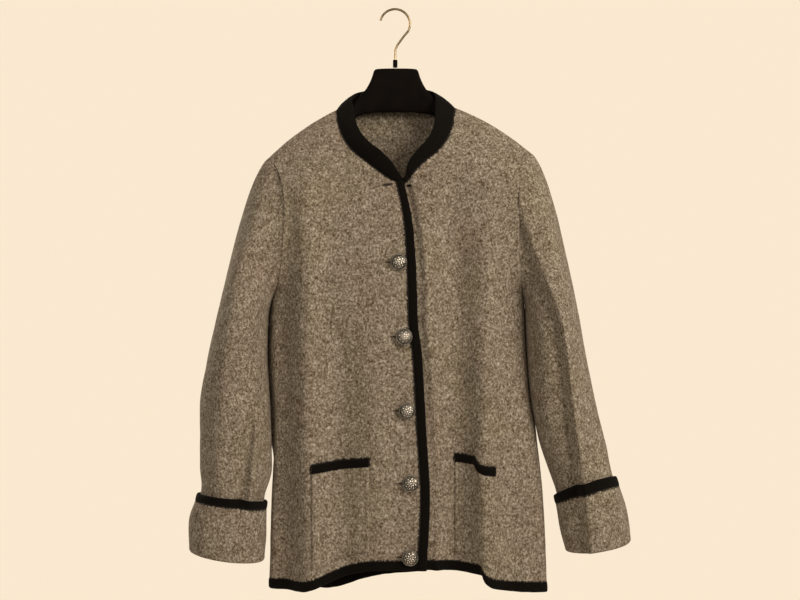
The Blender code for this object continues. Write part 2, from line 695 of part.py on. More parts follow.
def make_material(name, colour, roughness, metallic=0.0):
    made = bpy.data.materials.new(name)
    made.use_nodes = True
    shader = made.node_tree.nodes["Principled BSDF"]
    shader.inputs["Base Color"].default_value = (*colour, 1.0)
    shader.inputs["Roughness"].default_value = roughness
    shader.inputs["Metallic"].default_value = metallic
    return made


def build_cloth(surface, loden, knit):
    fronts = {side: front_grid(side) for side in SIDES}
    back = back_grid(fronts)
    ids = {side: surface.add_points(fronts[side]) for side in SIDES}
    neck_row = LEVELS.index(NECK)
    for side in SIDES:
        flip = side == "right"
        surface.add_panel("front_" + side, ids[side][1:, 1:], flip)
        surface.add_panel("edge_binding_" + side, ids[side][: neck_row + 1, :2], flip)
        surface.add_panel("hem_binding_front_" + side, ids[side][:2, 1:], flip)
    back_ids = surface.add_points(back)
    surface.add_panel("back", back_ids[1:], True)
    surface.add_panel("hem_binding_back", back_ids[:2], True)
    collar_ids = surface.add_points(collar_grid(fronts, back))
    surface.add_panel("collar", collar_ids, True)
    sleeves = {}
    for side in SIDES:
        loop = armhole(side, fronts[side], back)
        grid, angles = sleeve_grid(side, loop)
        sleeve_ids = surface.add_points(grid)
        sleeve_ids = np.concatenate([sleeve_ids, sleeve_ids[:, :1]], axis=1)
        surface.add_panel("sleeve_" + side, sleeve_ids, side == "left")
        sleeves[side] = angles
    surface.settle()
    for name in surface.panels:
        if "binding" in name:
            finish(surface.wall(name, BINDING_OUT, BINDING_IN), knit)
        elif name == "collar":
            finish(surface.wall(name, COLLAR_OUT, COLLAR_IN), knit)
        else:
            finish(surface.wall(name, 0.0, CLOTH), loden)
    return ids, sleeves


def build_pockets(surface, ids, loden, knit):
    """Patch pockets on the fronts' own points, moved out, with a binding along the top."""
    foot, mouth, top = (LEVELS.index(level) for level in (POCKET_FOOT, POCKET_BINDING, POCKET_TOP))
    start, end = POCKET_COLUMNS[0] + 1, POCKET_COLUMNS[1] + 2
    for side in SIDES:
        patch = Surface()
        patch.points = [point.copy() for point in surface.points]
        columns = ids[side][:, start:end]
        patch.add_panel("pocket_" + side, columns[foot: mouth + 1], side == "right")
        patch.add_panel("pocket_binding_" + side, columns[mouth: top + 1], side == "right")
        patch.settle()
        for name in patch.panels:
            bound = "binding" in name
            height = CLOTH + (BINDING_OUT if bound else 0.0)
            finish(patch.wall(name, LAYER_GAP + height, -LAYER_GAP), knit if bound else loden)


def build_cuffs(angles, loden, knit):
    """Each cuff turns up round the foot of its sleeve, and a binding edges its top."""
    outer, inner, lining = CUFF_OUT, CUFF_OUT - CLOTH, -CLOTH
    # Columns of the cuff's section: sleeve level, how far out, how far down.
    section = (
        (CUFF_TOP, outer, 0.0),
        (CUFF_FOOT, outer, 0.0020),
        (CUFF_FOOT, outer - CUFF_ROUND, CUFF_DEPTH),
        (CUFF_FOOT, lining + CUFF_ROUND, CUFF_DEPTH),
        (CUFF_FOOT, lining, CUFF_DEPTH - CUFF_ROUND),
        (CUFF_FOOT, lining, CUFF_TURN_GAP),
        (CUFF_FOOT, inner, CUFF_TURN_GAP),
        (CUFF_TOP, inner, 0.0),
    )
    edge = (
        (CUFF_TOP, CUFF_GAP, -SEAM_GAP),
        (CUFF_TOP, outer + BINDING_OUT, -SEAM_GAP),
        (CUFF_BINDING_TOP, outer + BINDING_OUT, 0.0),
        (CUFF_BINDING_TOP, CUFF_GAP, 0.0),
    )
    for side in SIDES:
        for name, rows, material in (("cuff_", section, loden), ("cuff_binding_", edge, knit)):
            rings = []
            for level, out, down in rows:
                ring = sleeve_ring(side, level, angles[side], out)
                rings.append(ring - np.array([0.0, 0.0, down]))
            finish(tube(name + side, rings), material)


def build_buttons(surface, metal):
    """Domed buttons on shanks that stand on the right front, each turned from one profile."""
    faces = surface.panels["front_right"]
    tree = BVHTree.FromPolygons([Vector(point) for point in surface.points], faces)
    mesh = bpy.data.meshes.new("button")
    last = len(BUTTON_PROFILE) - 1
    line = [(radius, 0.0, height) for radius, height in BUTTON_PROFILE]
    mesh.from_pydata(line, [(i, i + 1) for i in range(last)], [])
    mesh.materials.append(metal)
    for number, (x, z) in enumerate(BUTTONS, 1):
        seat = tree.ray_cast(Vector((x, -1.0, z)), Vector((0.0, 1.0, 0.0)))[0]
        obj = bpy.data.objects.new("button_%d" % number, mesh)
        obj.location = seat - Vector((0.0, LAYER_GAP, 0.0))
        obj.rotation_euler = (math.pi / 2, 0.0, 0.0)
        turn = obj.modifiers.new("Turned", "SCREW")
        turn.steps = turn.render_steps = BUTTON_SIDES
        turn.use_merge_vertices = True
        turn.merge_threshold = 0.00001
        bpy.data.collections["Jacket"].objects.link(obj)


def build_hanger_body(plastic):
    """The contoured bar under the shoulders, a loft through its sections."""
    rows = [(-row[0],) + row[1:] for row in HANGER_SECTIONS[:0:-1]] + list(HANGER_SECTIONS)
    angles = np.arange(HANGER_SIDES) * 2 * math.pi / HANGER_SIDES
    rings = []
    for x, y, top, foot, half, peak in rows:
        power = np.where(np.sin(angles) > 0, peak, HANGER_FOOT_PEAK)
        across = np.sign(np.cos(angles)) * np.abs(np.cos(angles)) ** power
        up = np.sign(np.sin(angles)) * np.abs(np.sin(angles)) ** power
        z = (top + foot) / 2 + (top - foot) / 2 * up
        rings.append(np.stack([np.full(HANGER_SIDES, x + BAR_X), y + half * across, z], axis=1))
    count = HANGER_SIDES
    last = (len(rings) - 1) * count
    faces = [tuple(range(count)), tuple(range(last, last + count))]
    for start in range(0, last, count):
        faces += ring_faces(start, start + count, count)
    body = add_mesh("hanger_body", np.concatenate(rings), faces)
    face_outwards(body)
    finish(body, plastic)


def build_ferrule(plastic):
    """The collar of the hanger that holds the wire's foot."""
    bpy.ops.mesh.primitive_cylinder_add(
        vertices=20,
        radius=FERRULE_RADIUS,
        depth=FERRULE_TOP - FERRULE_FOOT,
        location=(STEM_X, 0.0, (FERRULE_TOP + FERRULE_FOOT) / 2),
    )
    ferrule = bpy.context.object
    ferrule.name = "hanger_ferrule"
    for collection in ferrule.users_collection:
        collection.objects.unlink(ferrule)
    bpy.data.collections["Jacket"].objects.link(ferrule)
    finish(ferrule, plastic)


def build_hook(steel):
    """The wire hook, bent round the origin's peg and then down into the ferrule."""
    centre = Vector((0.0, 0.0, WIRE - HOOK_RADIUS))
    route = []
    for step in range(HOOK_STEPS + 1):
        angle = math.radians(HOOK_TIP + (HOOK_END - HOOK_TIP) * step / HOOK_STEPS)
        route.append(centre + HOOK_RADIUS * Vector((math.cos(angle), 0.0, math.sin(angle))))
    route += [Vector((x, 0.0, z)) for x, z in STEM]
    curve = bpy.data.curves.new("hanger_hook", "CURVE")
    curve.dimensions = "3D"
    curve.bevel_depth = WIRE
    curve.bevel_resolution = 2
    curve.use_fill_caps = True
    spline = curve.splines.new("POLY")
    spline.points.add(len(route) - 1)
    for point, place in zip(spline.points, route):
        point.co = (*place, 1.0)
    curve.materials.append(steel)
    hook = bpy.data.objects.new("hanger_hook", curve)
    bpy.data.collections["Jacket"].objects.link(hook)


def main():
    for obj in list(bpy.data.objects):
        bpy.data.objects.remove(obj, do_unlink=True)
    bpy.context.scene.collection.children.link(bpy.data.collections.new("Jacket"))
    loden = make_material("grey boiled wool", (0.21, 0.185, 0.155), 0.95)
    knit = make_material("black felted knit", (0.012, 0.011, 0.011), 0.95)
    metal = make_material("antique pewter", (0.32, 0.31, 0.29), 0.4, 1.0)
    plastic = make_material("black hanger plastic", (0.012, 0.012, 0.012), 0.45)
    steel = make_material("plated steel wire", (0.55, 0.50, 0.40), 0.3, 1.0)
    surface = Surface()
    ids, angles = build_cloth(surface, loden, knit)
    build_pockets(surface, ids, loden, knit)
    build_cuffs(angles, loden, knit)
    build_buttons(surface, metal)
    build_hanger_body(plastic)
    build_ferrule(plastic)
    build_hook(steel)


main()
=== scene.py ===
"""The looks of a tyrolean loden jacket, buttoned, on the contoured hanger that holds it up.

Metres, +Z up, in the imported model's own frame: the front faces -Y, the wearer's right side is at
-X, and the origin is under the top of the hanger's hook. The cloth follows the same lines as the
solids do, at a finer step, and each piece here stands for the CAD node that it is named after.
"""

import math

import bmesh
import bpy
import numpy as np
from mathutils import Matrix, Vector, noise
from mathutils.bvhtree import BVHTree


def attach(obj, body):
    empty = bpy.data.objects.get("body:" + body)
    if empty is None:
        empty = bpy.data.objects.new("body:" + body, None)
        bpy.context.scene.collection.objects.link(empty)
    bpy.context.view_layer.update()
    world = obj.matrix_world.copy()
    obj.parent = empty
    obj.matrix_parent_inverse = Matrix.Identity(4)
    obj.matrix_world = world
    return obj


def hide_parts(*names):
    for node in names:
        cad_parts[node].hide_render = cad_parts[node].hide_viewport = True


# The wearer's sides, which way is out on each, and the back's column at that side.
SIDES = ("right", "left")
SIGN = {"right": -1.0, "left": 1.0}
SIDE_COLUMN = {"right": 0, "left": -1}

# Cloth and trim. A band of knit is folded over an edge: it is thicker than the cloth and laps
# over its face by BAND_LAP.
CLOTH = 0.003
BAND_HALF = 0.0025
BAND_LAP = 0.0015
COLLAR_HALF = 0.0022
# Width of the front edges' binding by level.
BINDING_WIDTH = ((0.00, 0.0126), (1.00, 0.0124), (1.35, 0.0108), (1.75, 0.0095), (2.00, 0.0095))
BAND_ROUND = 3.2
BAND_STEPS = 10
# A band's edges wander as the cloth's own lumps do, but finer and by less.
WANDER_FINER, WANDER_LESS = 6.0, 0.5
# The felted cloth's own unevenness. Columns: height, spacing, and where its pattern starts.
LUMPS = ((0.0009, 0.070, (0.0, 0.0, 0.0)), (0.00035, 0.022, (7.0, 3.0, 1.0)))
POCKET_RISE = {"right": 0.0034, "left": 0.0022}

# Levels: 0 at the hem, 1 at the underarm, 2 at the shoulder seam. A level is LEVEL_SPAN high
# on the body.
BINDING_TOP = 0.032
POCKET_FOOT = 0.07
POCKET_BINDING = 0.396
POCKET_TOP = 0.422
NECK = 1.55
LEVEL_SPAN = 0.41
BODY_STEP, ARM_STEP = 0.0085, 0.0145
FRONT_COLUMNS = 66
NECK_COLUMNS = 18
NECK_SHARE = 0.36
ROW_POINTS = 361
# About how wide a front's row is, and how wide as many of the back's columns are as its neck has.
FRONT_WIDTH, NECK_COLUMNS_WIDTH = 0.24, 0.05

# The panels start this many rows under the top of the hem's band.
HEM_LAP_ROWS = 4
# How far past a pocket's band its black fibres lie thick on the front.
POCKET_FRAY = 0.0006

# Bounding lines. Columns: level, x, y, z.
FRONT_EDGE = {
    "right": (
        (0.00, 0.0455, -0.0760, -0.8185),
        (0.25, 0.0500, -0.0800, -0.7163),
        (0.50, 0.0445, -0.0830, -0.6140),
        (0.75, 0.0388, -0.0830, -0.5120),
        (0.87, 0.0328, -0.0820, -0.4610),
        (1.00, 0.0315, -0.0800, -0.4100),
        (1.25, 0.0270, -0.0720, -0.3350),
        (1.46, 0.0180, -0.0629, -0.2810),
        (NECK, 0.0118, -0.0580, -0.2590),
    ),
    "left": (
        (0.00, 0.0005, -0.0760, -0.8150),
        (0.25, 0.0050, -0.0800, -0.7140),
        (0.50, -0.0005, -0.0830, -0.6120),
        (0.75, -0.0040, -0.0830, -0.5100),
        (1.00, -0.0090, -0.0800, -0.4090),
        (1.25, -0.0110, -0.0720, -0.3350),
        (1.46, -0.0040, -0.0620, -0.2820),
        (NECK, 0.0045, -0.0580, -0.2600),
    ),
}
NECKLINE = {
    "right": (
        (NECK, -0.0015, -0.0580, -0.2605),
        (1.62, -0.0125, -0.0575, -0.2535),
        (1.69, -0.0340, -0.0555, -0.2370),
        (1.77, -0.0600, -0.0485, -0.2155),
        (1.85, -0.0750, -0.0380, -0.1940),
        (1.93, -0.0830, -0.0250, -0.1715),
        (2.00, -0.0865, -0.0080, -0.1495),
    ),
    "left": (
        (NECK, 0.0180, -0.0570, -0.2590),
        (1.62, 0.0265, -0.0570, -0.2475),
        (1.69, 0.0420, -0.0545, -0.2315),
        (1.77, 0.0600, -0.0490, -0.2165),
        (1.85, 0.0745, -0.0395, -0.1975),
        (1.93, 0.0840, -0.0255, -0.1730),
        (2.00, 0.0880, -0.0080, -0.1460),
    ),
}
# The side seam, then the front half of the armhole.
FRONT_SIDE = {
    "right": (
        (0.00, -0.1835, -0.0380, -0.8500),
        (0.30, -0.1800, -0.0380, -0.7246),
        (0.58, -0.1745, -0.0380, -0.6076),
        (0.80, -0.1808, -0.0360, -0.5150),
        (1.00, -0.1785, -0.0320, -0.4320),
        (1.12, -0.1690, -0.0540, -0.4080),
        (1.24, -0.1630, -0.0640, -0.3800),
        (1.36, -0.1600, -0.0680, -0.3500),
        (NECK, -0.1580, -0.0660, -0.3000),
        (1.69, -0.1615, -0.0600, -0.2680),
        (1.85, -0.1725, -0.0480, -0.2380),
        (1.93, -0.1790, -0.0400, -0.2290),
        (2.00, -0.1850, -0.0300, -0.2235),
    ),
    "left": (
        (0.00, 0.2205, -0.0520, -0.8530),
        (0.30, 0.2150, -0.0500, -0.7270),
        (0.50, 0.2070, -0.0460, -0.6420),
        (0.66, 0.1960, -0.0420, -0.5750),
        (0.82, 0.1905, -0.0380, -0.5080),
        (1.00, 0.1870, -0.0340, -0.4320),
        (1.12, 0.1830, -0.0540, -0.4080),
        (1.24, 0.1800, -0.0640, -0.3800),
        (1.36, 0.1780, -0.0680, -0.3500),
        (NECK, 0.1780, -0.0660, -0.3000),
        (1.69, 0.1805, -0.0600, -0.2660),
        (1.85, 0.1890, -0.0480, -0.2340),
        (1.93, 0.1940, -0.0400, -0.2230),
        (2.00, 0.1990, -0.0300, -0.2165),
    ),
}
# The back half of the armhole, between its ends, at the front half's levels and heights.
BACK_ARM_X = {
    "right": (-0.1738, -0.1690, -0.1668, -0.1655, -0.1670, -0.1740, -0.1800),
    "left": (0.1850, 0.1830, 0.1820, 0.1820, 0.1835, 0.1895, 0.1940),
}
BACK_ARM_Y = (-0.0100, 0.0040, 0.0120, 0.0150, 0.0100, -0.0060, -0.0180)
CENTRE_BACK = (
    (0.00, 0.0100, 0.0400, -0.8465),
    (0.50, 0.0080, 0.0400, -0.6400),
    (1.00, 0.0040, 0.0360, -0.4250),
    (1.36, 0.0030, 0.0330, -0.3200),
    (1.69, 0.0020, 0.0270, -0.2250),
    (1.85, 0.0020, 0.0230, -0.1800),
    (2.00, 0.0020, 0.0180, -0.1420),
)
# How square a row turns from the front or the back to the side: 1 is a straight line.
FRONT_TURN = ((0.0, 2.6), (0.8, 2.5), (1.0, 2.2), (1.24, 1.5), (NECK, 1.0), (2.0, 1.0))
BACK_TURN = ((0.0, 3.0), (1.0, 2.8), (1.24, 2.2), (NECK, 1.8), (1.85, 1.2), (2.0, 1.0))
# Where along the right front's row, from 0 at its edge to 1 at its side, the hem drops.
HEM_DROP = (0.31, 0.85)
# How far the back's hem hangs down between its middle and its side, most near the side.
BACK_HEM_DIP = {"right": 0.0190, "left": -0.0095}
BACK_DIP_TOP, BACK_DIP_POWER = 0.6, 1.1
# How far the back's sides stand out behind the sleeves. Columns: level, distance.
BACK_FULLNESS = {
    "right": ((0.00, 0.0), (0.40, 0.0), (0.54, 0.0158), (0.70, 0.0150), (0.80, 0.0118),
              (0.94, 0.0118), (0.99, 0.0085), (1.06, 0.0), (2.00, 0.0)),
    "left": ((0.00, 0.0), (0.42, 0.0), (0.58, 0.0070), (0.80, 0.0082), (0.94, 0.0085),
             (0.99, 0.0070), (1.06, 0.0), (2.00, 0.0)),
}
# Up to the first of these levels a row runs as the hem does, and from the second straight.
HEM_LEVEL, STRAIGHT_LEVEL = 0.08, 0.36
# How far the shoulder seam arches, and from which level the rows take that up.
SHOULDER_ARCH, ARCH_START = 0.0065, 1.6
# From this level up the back's rows bend to the shoulder seams and the neck.
BACK_BEND = 1.5
# How far the left front lies back under the right one, and where past its edge that ends.
UNDERLAP = 0.0068
UNDERLAP_START, UNDERLAP_END = 0.0045, 0.0145

# Soft troughs and ridges that hang from the shoulders. Columns: panel, x and z at the top, x
# and z at the foot, half width, and how far the cloth stands out.
FOLDS = (
    ("right", -0.170, -0.255, -0.160, -0.900, 0.017, -0.013),
    ("right", -0.130, -0.255, -0.122, -0.900, 0.021, 0.016),
    ("right", -0.078, -0.450, -0.072, -0.900, 0.020, -0.008),
    ("right", -0.030, -0.460, -0.022, -0.760, 0.018, 0.005),
    ("left", 0.084, -0.270, 0.086, -0.900, 0.027, -0.014),
    ("left", 0.132, -0.330, 0.130, -0.900, 0.024, 0.014),
    ("left", 0.047, -0.420, 0.045, -0.800, 0.015, 0.005),
    ("back", -0.098, -0.340, -0.112, -0.900, 0.022, -0.011),
    ("back", -0.054, -0.430, -0.060, -0.900, 0.019, 0.008),
    ("back", 0.006, -0.500, -0.002, -0.900, 0.024, -0.006),
    ("back", 0.060, -0.390, 0.070, -0.900, 0.021, 0.009),
    ("back", 0.104, -0.330, 0.120, -0.900, 0.024, -0.012),
)
FOLD_FADE = 0.10
# The folds start between these shares of a front's row, and die out at its side.
FOLD_START = (0.05, 0.30)
FOLD_SIDE_POWER = 8

# The left front folds forward at a crease, and its rows drop past it. Columns: level, x of the
# crease, how far the cloth comes forward there, half the step's width, how far it hangs over the
# crease, its share of the row's drop, and the run of that drop.
FRONT_STEP = (
    (0.00, 0.1275, 0.009, 0.0060, 0.006, 0.60, 0.013),
    (0.04, 0.1240, 0.009, 0.0070, 0.004, 0.60, 0.012),
    (0.12, 0.1180, 0.009, 0.0100, 0.000, 0.54, 0.008),
    (0.30, 0.1165, 0.009, 0.0100, 0.000, 0.45, 0.007),
    (0.42, 0.1155, 0.009, 0.0050, 0.002, 0.38, 0.004),
    (0.50, 0.1150, 0.008, 0.0100, 0.000, 0.24, 0.006),
    (0.62, 0.1130, 0.007, 0.0150, 0.000, 0.06, 0.010),
    (0.80, 0.1120, 0.004, 0.0180, 0.000, 0.00, 0.020),
    (1.00, 0.1140, 0.000, 0.0200, 0.000, 0.00, 0.020),
    (1.20, 0.1180, 0.000, 0.0200, 0.000, 0.00, 0.020),
    (2.00, 0.1180, 0.000, 0.0200, 0.000, 0.00, 0.020),
)
STEP_REACH = 0.034

# The left sleeve's outer half lies forward of a crease that runs down into its cuff. Columns:
# z, x of the crease, and how far the cloth comes forward there.
SLEEVE_STEP = (
    (-0.850, 0.2760, 0.012),
    (-0.760, 0.2685, 0.015),
    (-0.690, 0.2605, 0.019),
    (-0.600, 0.2480, 0.021),
    (-0.474, 0.2320, 0.021),
    (-0.376, 0.1985, 0.018),
    (-0.300, 0.1770, 0.010),
    (-0.240, 0.1600, 0.000),
)
SLEEVE_STEP_HALF, SLEEVE_STEP_REACH = 0.0060, 0.034
# A face takes its creases in full once its normal turns this far to the front or the back.
FACE_TURN = (0.05, 0.6)
# How far on both sides of its ends a crease fades, as a share of its length.
CREASE_FADE = 0.25

# Creases in the sleeves. Columns: side, front or back, x and z at the top, x and z at the foot,
# half width, and how far the cloth stands out.
CREASES = (
    ("right", "front", -0.166, -0.240, -0.186, -0.420, 0.016, -0.006),
    ("right", "front", -0.203, -0.600, -0.220, -0.722, 0.009, -0.009),
    ("right", "front", -0.193, -0.600, -0.204, -0.722, 0.008, 0.006),
    ("right", "front", -0.240, -0.560, -0.250, -0.700, 0.016, 0.004),
    ("right", "front", -0.255, -0.420, -0.262, -0.600, 0.018, -0.003),
    ("right", "back", -0.200, -0.360, -0.222, -0.640, 0.018, -0.006),
    ("right", "back", -0.250, -0.500, -0.240, -0.700, 0.014, -0.005),
    ("left", "front", 0.222, -0.560, 0.236, -0.700, 0.012, -0.003),
    ("left", "back", 0.200, -0.340, 0.238, -0.640, 0.018, -0.007),
    ("left", "back", 0.262, -0.520, 0.276, -0.700, 0.014, -0.005),
)

# Sleeve rings under the armhole. Columns: z, centre x, centre y, half width, half depth, and how
# far a ring tilts to the side and leans back.
SLEEVE_RINGS = {
    "right": (
        (-0.462, -0.2228, -0.0330, 0.0378, 0.0660, 0.00, 0.00),
        (-0.520, -0.2290, -0.0380, 0.0438, 0.0600, 0.00, 0.00),
        (-0.585, -0.2320, -0.0430, 0.0505, 0.0530, 0.00, 0.00),
        (-0.672, -0.2300, -0.0474, 0.0516, 0.0464, -0.03, 0.02),
        (-0.712, -0.2342, -0.0505, 0.0456, 0.0430, -0.12, 0.10),
        (-0.757, -0.2416, -0.0515, 0.0494, 0.0410, -0.13, 0.05),
        (-0.7970, -0.2425, -0.0520, 0.0499, 0.0420, -0.15, 0.00),
    ),
    "left": (
        (-0.462, 0.2298, -0.0330, 0.0390, 0.0660, 0.00, 0.00),
        (-0.520, 0.2361, -0.0380, 0.0429, 0.0600, 0.00, 0.00),
        (-0.578, 0.2443, -0.0430, 0.0462, 0.0530, 0.00, 0.00),
        (-0.632, 0.2555, -0.0470, 0.0470, 0.0470, 0.05, 0.04),
        (-0.695, 0.2735, -0.0500, 0.0400, 0.0430, 0.29, 0.28),
        (-0.745, 0.2862, -0.0510, 0.0418, 0.0410, 0.23, 0.10),
        (-0.7835, 0.2932, -0.0520, 0.0422, 0.0420, 0.17, 0.02),
    ),
}
SLEEVE_CAP_ROWS, SLEEVE_ROWS, CUFF_ROWS = 32, 84, 26
# Angles in degrees at which the sleeve's cap leaves the armhole: at the underarm, from half
# height up, and how much less at the shoulder.
CAP_START, CAP_SPREAD, CAP_LEAN = 27.0, 60.0, 6.0
CAP_EASE = 0.56
# The cap comes in along the line from the sleeve's first ring to this level.
CAP_AHEAD = 0.1

# Turned-back cuff, as ring levels of the sleeve and steps out from its face.
CUFF_BINDING_TOP, CUFF_START, CUFF_TOP, CUFF_FOOT = 4.1, 4.2, 4.33, 6.0
CUFF_LEVEL_SPAN = 0.048
CUFF_OUT = 0.0045
CUFF_PUFF = 0.0020
CUFF_FOLD_STEPS = 8

# Top edge of the collar. Columns: place (0 centre front, 1 shoulder, 2 centre back), x, y, z.
COLLAR_TOP = {
    "right": (
        (0.00, 0.0108, -0.0585, -0.2560),
        (0.15, 0.0021, -0.0620, -0.2435),
        (0.30, -0.0049, -0.0630, -0.2329),
        (0.50, -0.0200, -0.0615, -0.2170),
        (0.70, -0.0400, -0.0530, -0.2000),
        (0.86, -0.0560, -0.0380, -0.1740),
        (1.00, -0.0640, -0.0080, -0.1321),
        (1.35, -0.0500, 0.0110, -0.1190),
        (2.00, 0.0020, 0.0170, -0.1140),
    ),
    "left": (
        (0.00, 0.0155, -0.0530, -0.2540),
        (0.15, 0.0168, -0.0590, -0.2420),
        (0.30, 0.0212, -0.0630, -0.2304),
        (0.50, 0.0332, -0.0610, -0.2148),
        (0.70, 0.0480, -0.0530, -0.1968),
        (0.86, 0.0580, -0.0380, -0.1710),
        (1.00, 0.0600, -0.0080, -0.1288),
        (1.35, 0.0500, 0.0120, -0.1165),
        (2.00, 0.0020, 0.0170, -0.1140),
    ),
}
# How far the collar's middle stands out and its foot laps over the seam, as shares of its height.
COLLAR_BULGE, COLLAR_LAP = 0.05, 0.05
COLLAR_STEPS, COLLAR_END_STEPS = 14, 6

# Buttons: x, z, and how far each tips forward and aside, in degrees.
BUTTONS = (
    (0.0060, -0.3780, 4.0, -3.0),
    (0.0131, -0.4844, -3.0, 4.0),
    (0.0174, -0.5891, 5.0, 2.0),
    (0.0230, -0.6925, -4.0, -3.0),
    (0.0216, -0.7980, 7.0, 2.0),
)
BUTTON_RADIUS = 0.0118
SHANK_RADIUS, SHANK_HEIGHT = 0.0030, 0.0022
DOME_RADIUS, DOME_FOOT, DOME_HEIGHT = 0.0100, 0.0045, 0.0036
DOME_STEPS = 10
BUTTON_SIDES = 64
# A button's turned outline from its shank to the foot of its dome. Columns: radius and height.
BUTTON_PROFILE = (
    (SHANK_RADIUS, SHANK_HEIGHT), (0.0108, SHANK_HEIGHT), (0.0115, 0.0025),
    (BUTTON_RADIUS, 0.0032), (BUTTON_RADIUS, 0.0040), (0.0114, 0.0046),
    (0.0108, 0.0049), (0.0103, 0.0049), (DOME_RADIUS, 0.0045),
)
# The rope round a button's rim: strands, radius and height of the ring, each strand's half
# length, half width and half height, and its slant.
ROPE_STRANDS, ROPE_RADIUS, ROPE_HEIGHT = 36, 0.0110, 0.0046
STRAND_SIZE, STRAND_SLANT = (0.00115, 0.00055, 0.0007), 0.9
# Ornament is rubbed bright where it stands above the dome, or above this height on the rope,
# more and more over RUBBED_RISE.
ROPE_RUBBED, RUBBED_RISE = 0.0050, 0.0007
# Each button is turned on by this angle from the one above it, and set into the cloth.
BUTTON_TURN, BUTTON_SINK = 25, 0.0006

# Buttonholes: x and z of the middle, length, how far it gapes, and how much it climbs to the
# left front, in degrees.
BUTTONHOLES = (
    (-0.0104, -0.2660, 0.0140, 0.0026, 8.0),
    (-0.0010, -0.3780, 0.0240, 0.0008, 1.0),
    (0.0061, -0.4844, 0.0240, 0.0008, -2.0),
    (0.0104, -0.5891, 0.0240, 0.0008, 1.0),
    (0.0160, -0.6925, 0.0240, 0.0009, 2.0),
    (0.0146, -0.7980, 0.0240, 0.0010, 3.0),
)
# The mark on the left front where a top button was sewn, stated like a buttonhole.
THREAD_MARK = (0.0211, -0.2670, 0.0048, 0.0020, 0.0)
SLIT_STEPS = 40
# How far the flat face of painted shadow in each slit lies above the cloth.
SLIT_LIFT = 0.0001

# The thread round a slit is pushed out up and down, and by this share along the slit. Its middle
# lies this many of its radii above the cloth.
RIM_AT_ENDS, RIM_LIFT = 0.2, 0.3

WIRE = 0.0017
HOOK_RADIUS = 0.0222
# The hook's arc in degrees round its centre, and then its stem as x, z.
HOOK_TIP, HOOK_END = 166.0, -32.0
HOOK_STEPS = 64
STEM_X = 0.0003
STEM = (
    (0.0134, -0.0385),
    (0.0035, -0.0520),
    (STEM_X, -0.0590),
    (STEM_X, -0.0742),
)

# Pockets: x of each one's two sides, how far it stands out, and its rounded, stitched edge.
POCKET_SIDES = {"right": (-0.036, -0.118), "left": (0.0860, 0.1413)}
POCKET_EDGE = 0.0035
STITCH_INSET, STITCH_HALF, STITCH_DIP = 0.0060, 0.0018, 0.0005
POCKET_BAND_HALF, POCKET_BAND_LIFT = 0.0019, 0.0004
POCKET_FOOT_ROWS, POCKET_ROWS, POCKET_COLUMNS = 8, 34, 44
# The levels up to which the pocket's rows crowd at its foot, and where they end in its band.
POCKET_FOOT_END, POCKET_END = POCKET_FOOT + 0.05, POCKET_TOP - 0.01
LAYER_GAP = 0.0004
SEAM_DIP, SEAM_HALF = 0.0004, 0.0035
THREAD, THREAD_SIDES = 0.0006, 8

# The rosette on a button. Columns: how far the ring is turned, as a share of its petals' spacing,
# how many they are, radius of the ring, and each one's half length, half width and half height.
ORNAMENT = (
    (0.0, 1, 0.0, 0.0015, 0.0015, 0.0008),
    (0.0, 8, 0.0040, 0.0020, 0.0009, 0.0006),
    (0.5, 8, 0.0071, 0.0014, 0.0010, 0.0005),
    (0.0, 8, 0.0082, 0.0006, 0.0006, 0.0005),
)

FLOOR, FLOOR_SIZE = -1.75, 1.5
CAMERA_PLACE = (0.00745, -1.70, -0.432)
CAMERA_LENS = 51.3
# Lights: name, place, size and power. All aim at LIGHT_AIM.
LIGHTS = (
    ("key", (2.20, -2.10, 0.85), 1.6, 81.0),
    ("fill", (-0.90, -1.90, 0.60), 1.4, 8.0),
    ("back", (-1.50, 1.60, 0.50), 1.2, 22.0),
)
LIGHT_AIM = (0.0, 0.0, -0.45)
LIGHT_COLOUR, ROOM_COLOUR = "#fff0dc", "#fae9d0"
AMBIENT = 0.36


def blend(t, start, leave, end, arrive):
    """A smooth run from start to end that leaves and arrives at these speeds."""
    return (
        (2 * t**3 - 3 * t**2 + 1) * start
        + (t**3 - 2 * t**2 + t) * leave
        + (3 * t**2 - 2 * t**3) * end
        + (t**3 - t**2) * arrive
    )


def through(table, where, column=None):
    """A smooth run through a table's rows, with no overshoot between them."""
    rows = np.array(table, float)
    knots, values = rows[:, 0], rows[:, 1:]
    step = np.diff(knots)[:, None]
    slope = np.diff(values, axis=0) / step
    tangent = np.zeros_like(values)
    before, after = slope[:-1], slope[1:]
    near, far = 2 * step[1:] + step[:-1], step[1:] + 2 * step[:-1]
    same = before * after > 0
    safe_before = np.where(same, before, 1.0)
    safe_after = np.where(same, after, 1.0)
    tangent[1:-1] = np.where(same, (near + far) / (near / safe_before + far / safe_after), 0.0)
    tangent[0], tangent[-1] = slope[0], slope[-1]
    where = np.atleast_1d(np.asarray(where, float))
    i = np.clip(np.searchsorted(knots, where, side="right") - 1, 0, len(knots) - 2)
    t = ((where - knots[i]) / (knots[i + 1] - knots[i]))[:, None]
    leave, arrive = step[i] * tangent[i], step[i] * tangent[i + 1]
    found = blend(t, values[i], leave, values[i + 1], arrive)
    return found if column is None else found[:, column]


def ease(value, start=0.0, end=1.0):
    """0 before start, 1 after end, with a soft run between them."""
    t = np.clip((value - start) / (end - start), 0.0, 1.0)
    return t * t * (3 - 2 * t)


def unit(vectors):
    size = np.linalg.norm(vectors, axis=-1, keepdims=True)
    return vectors / np.where(size > 0, size, 1.0)


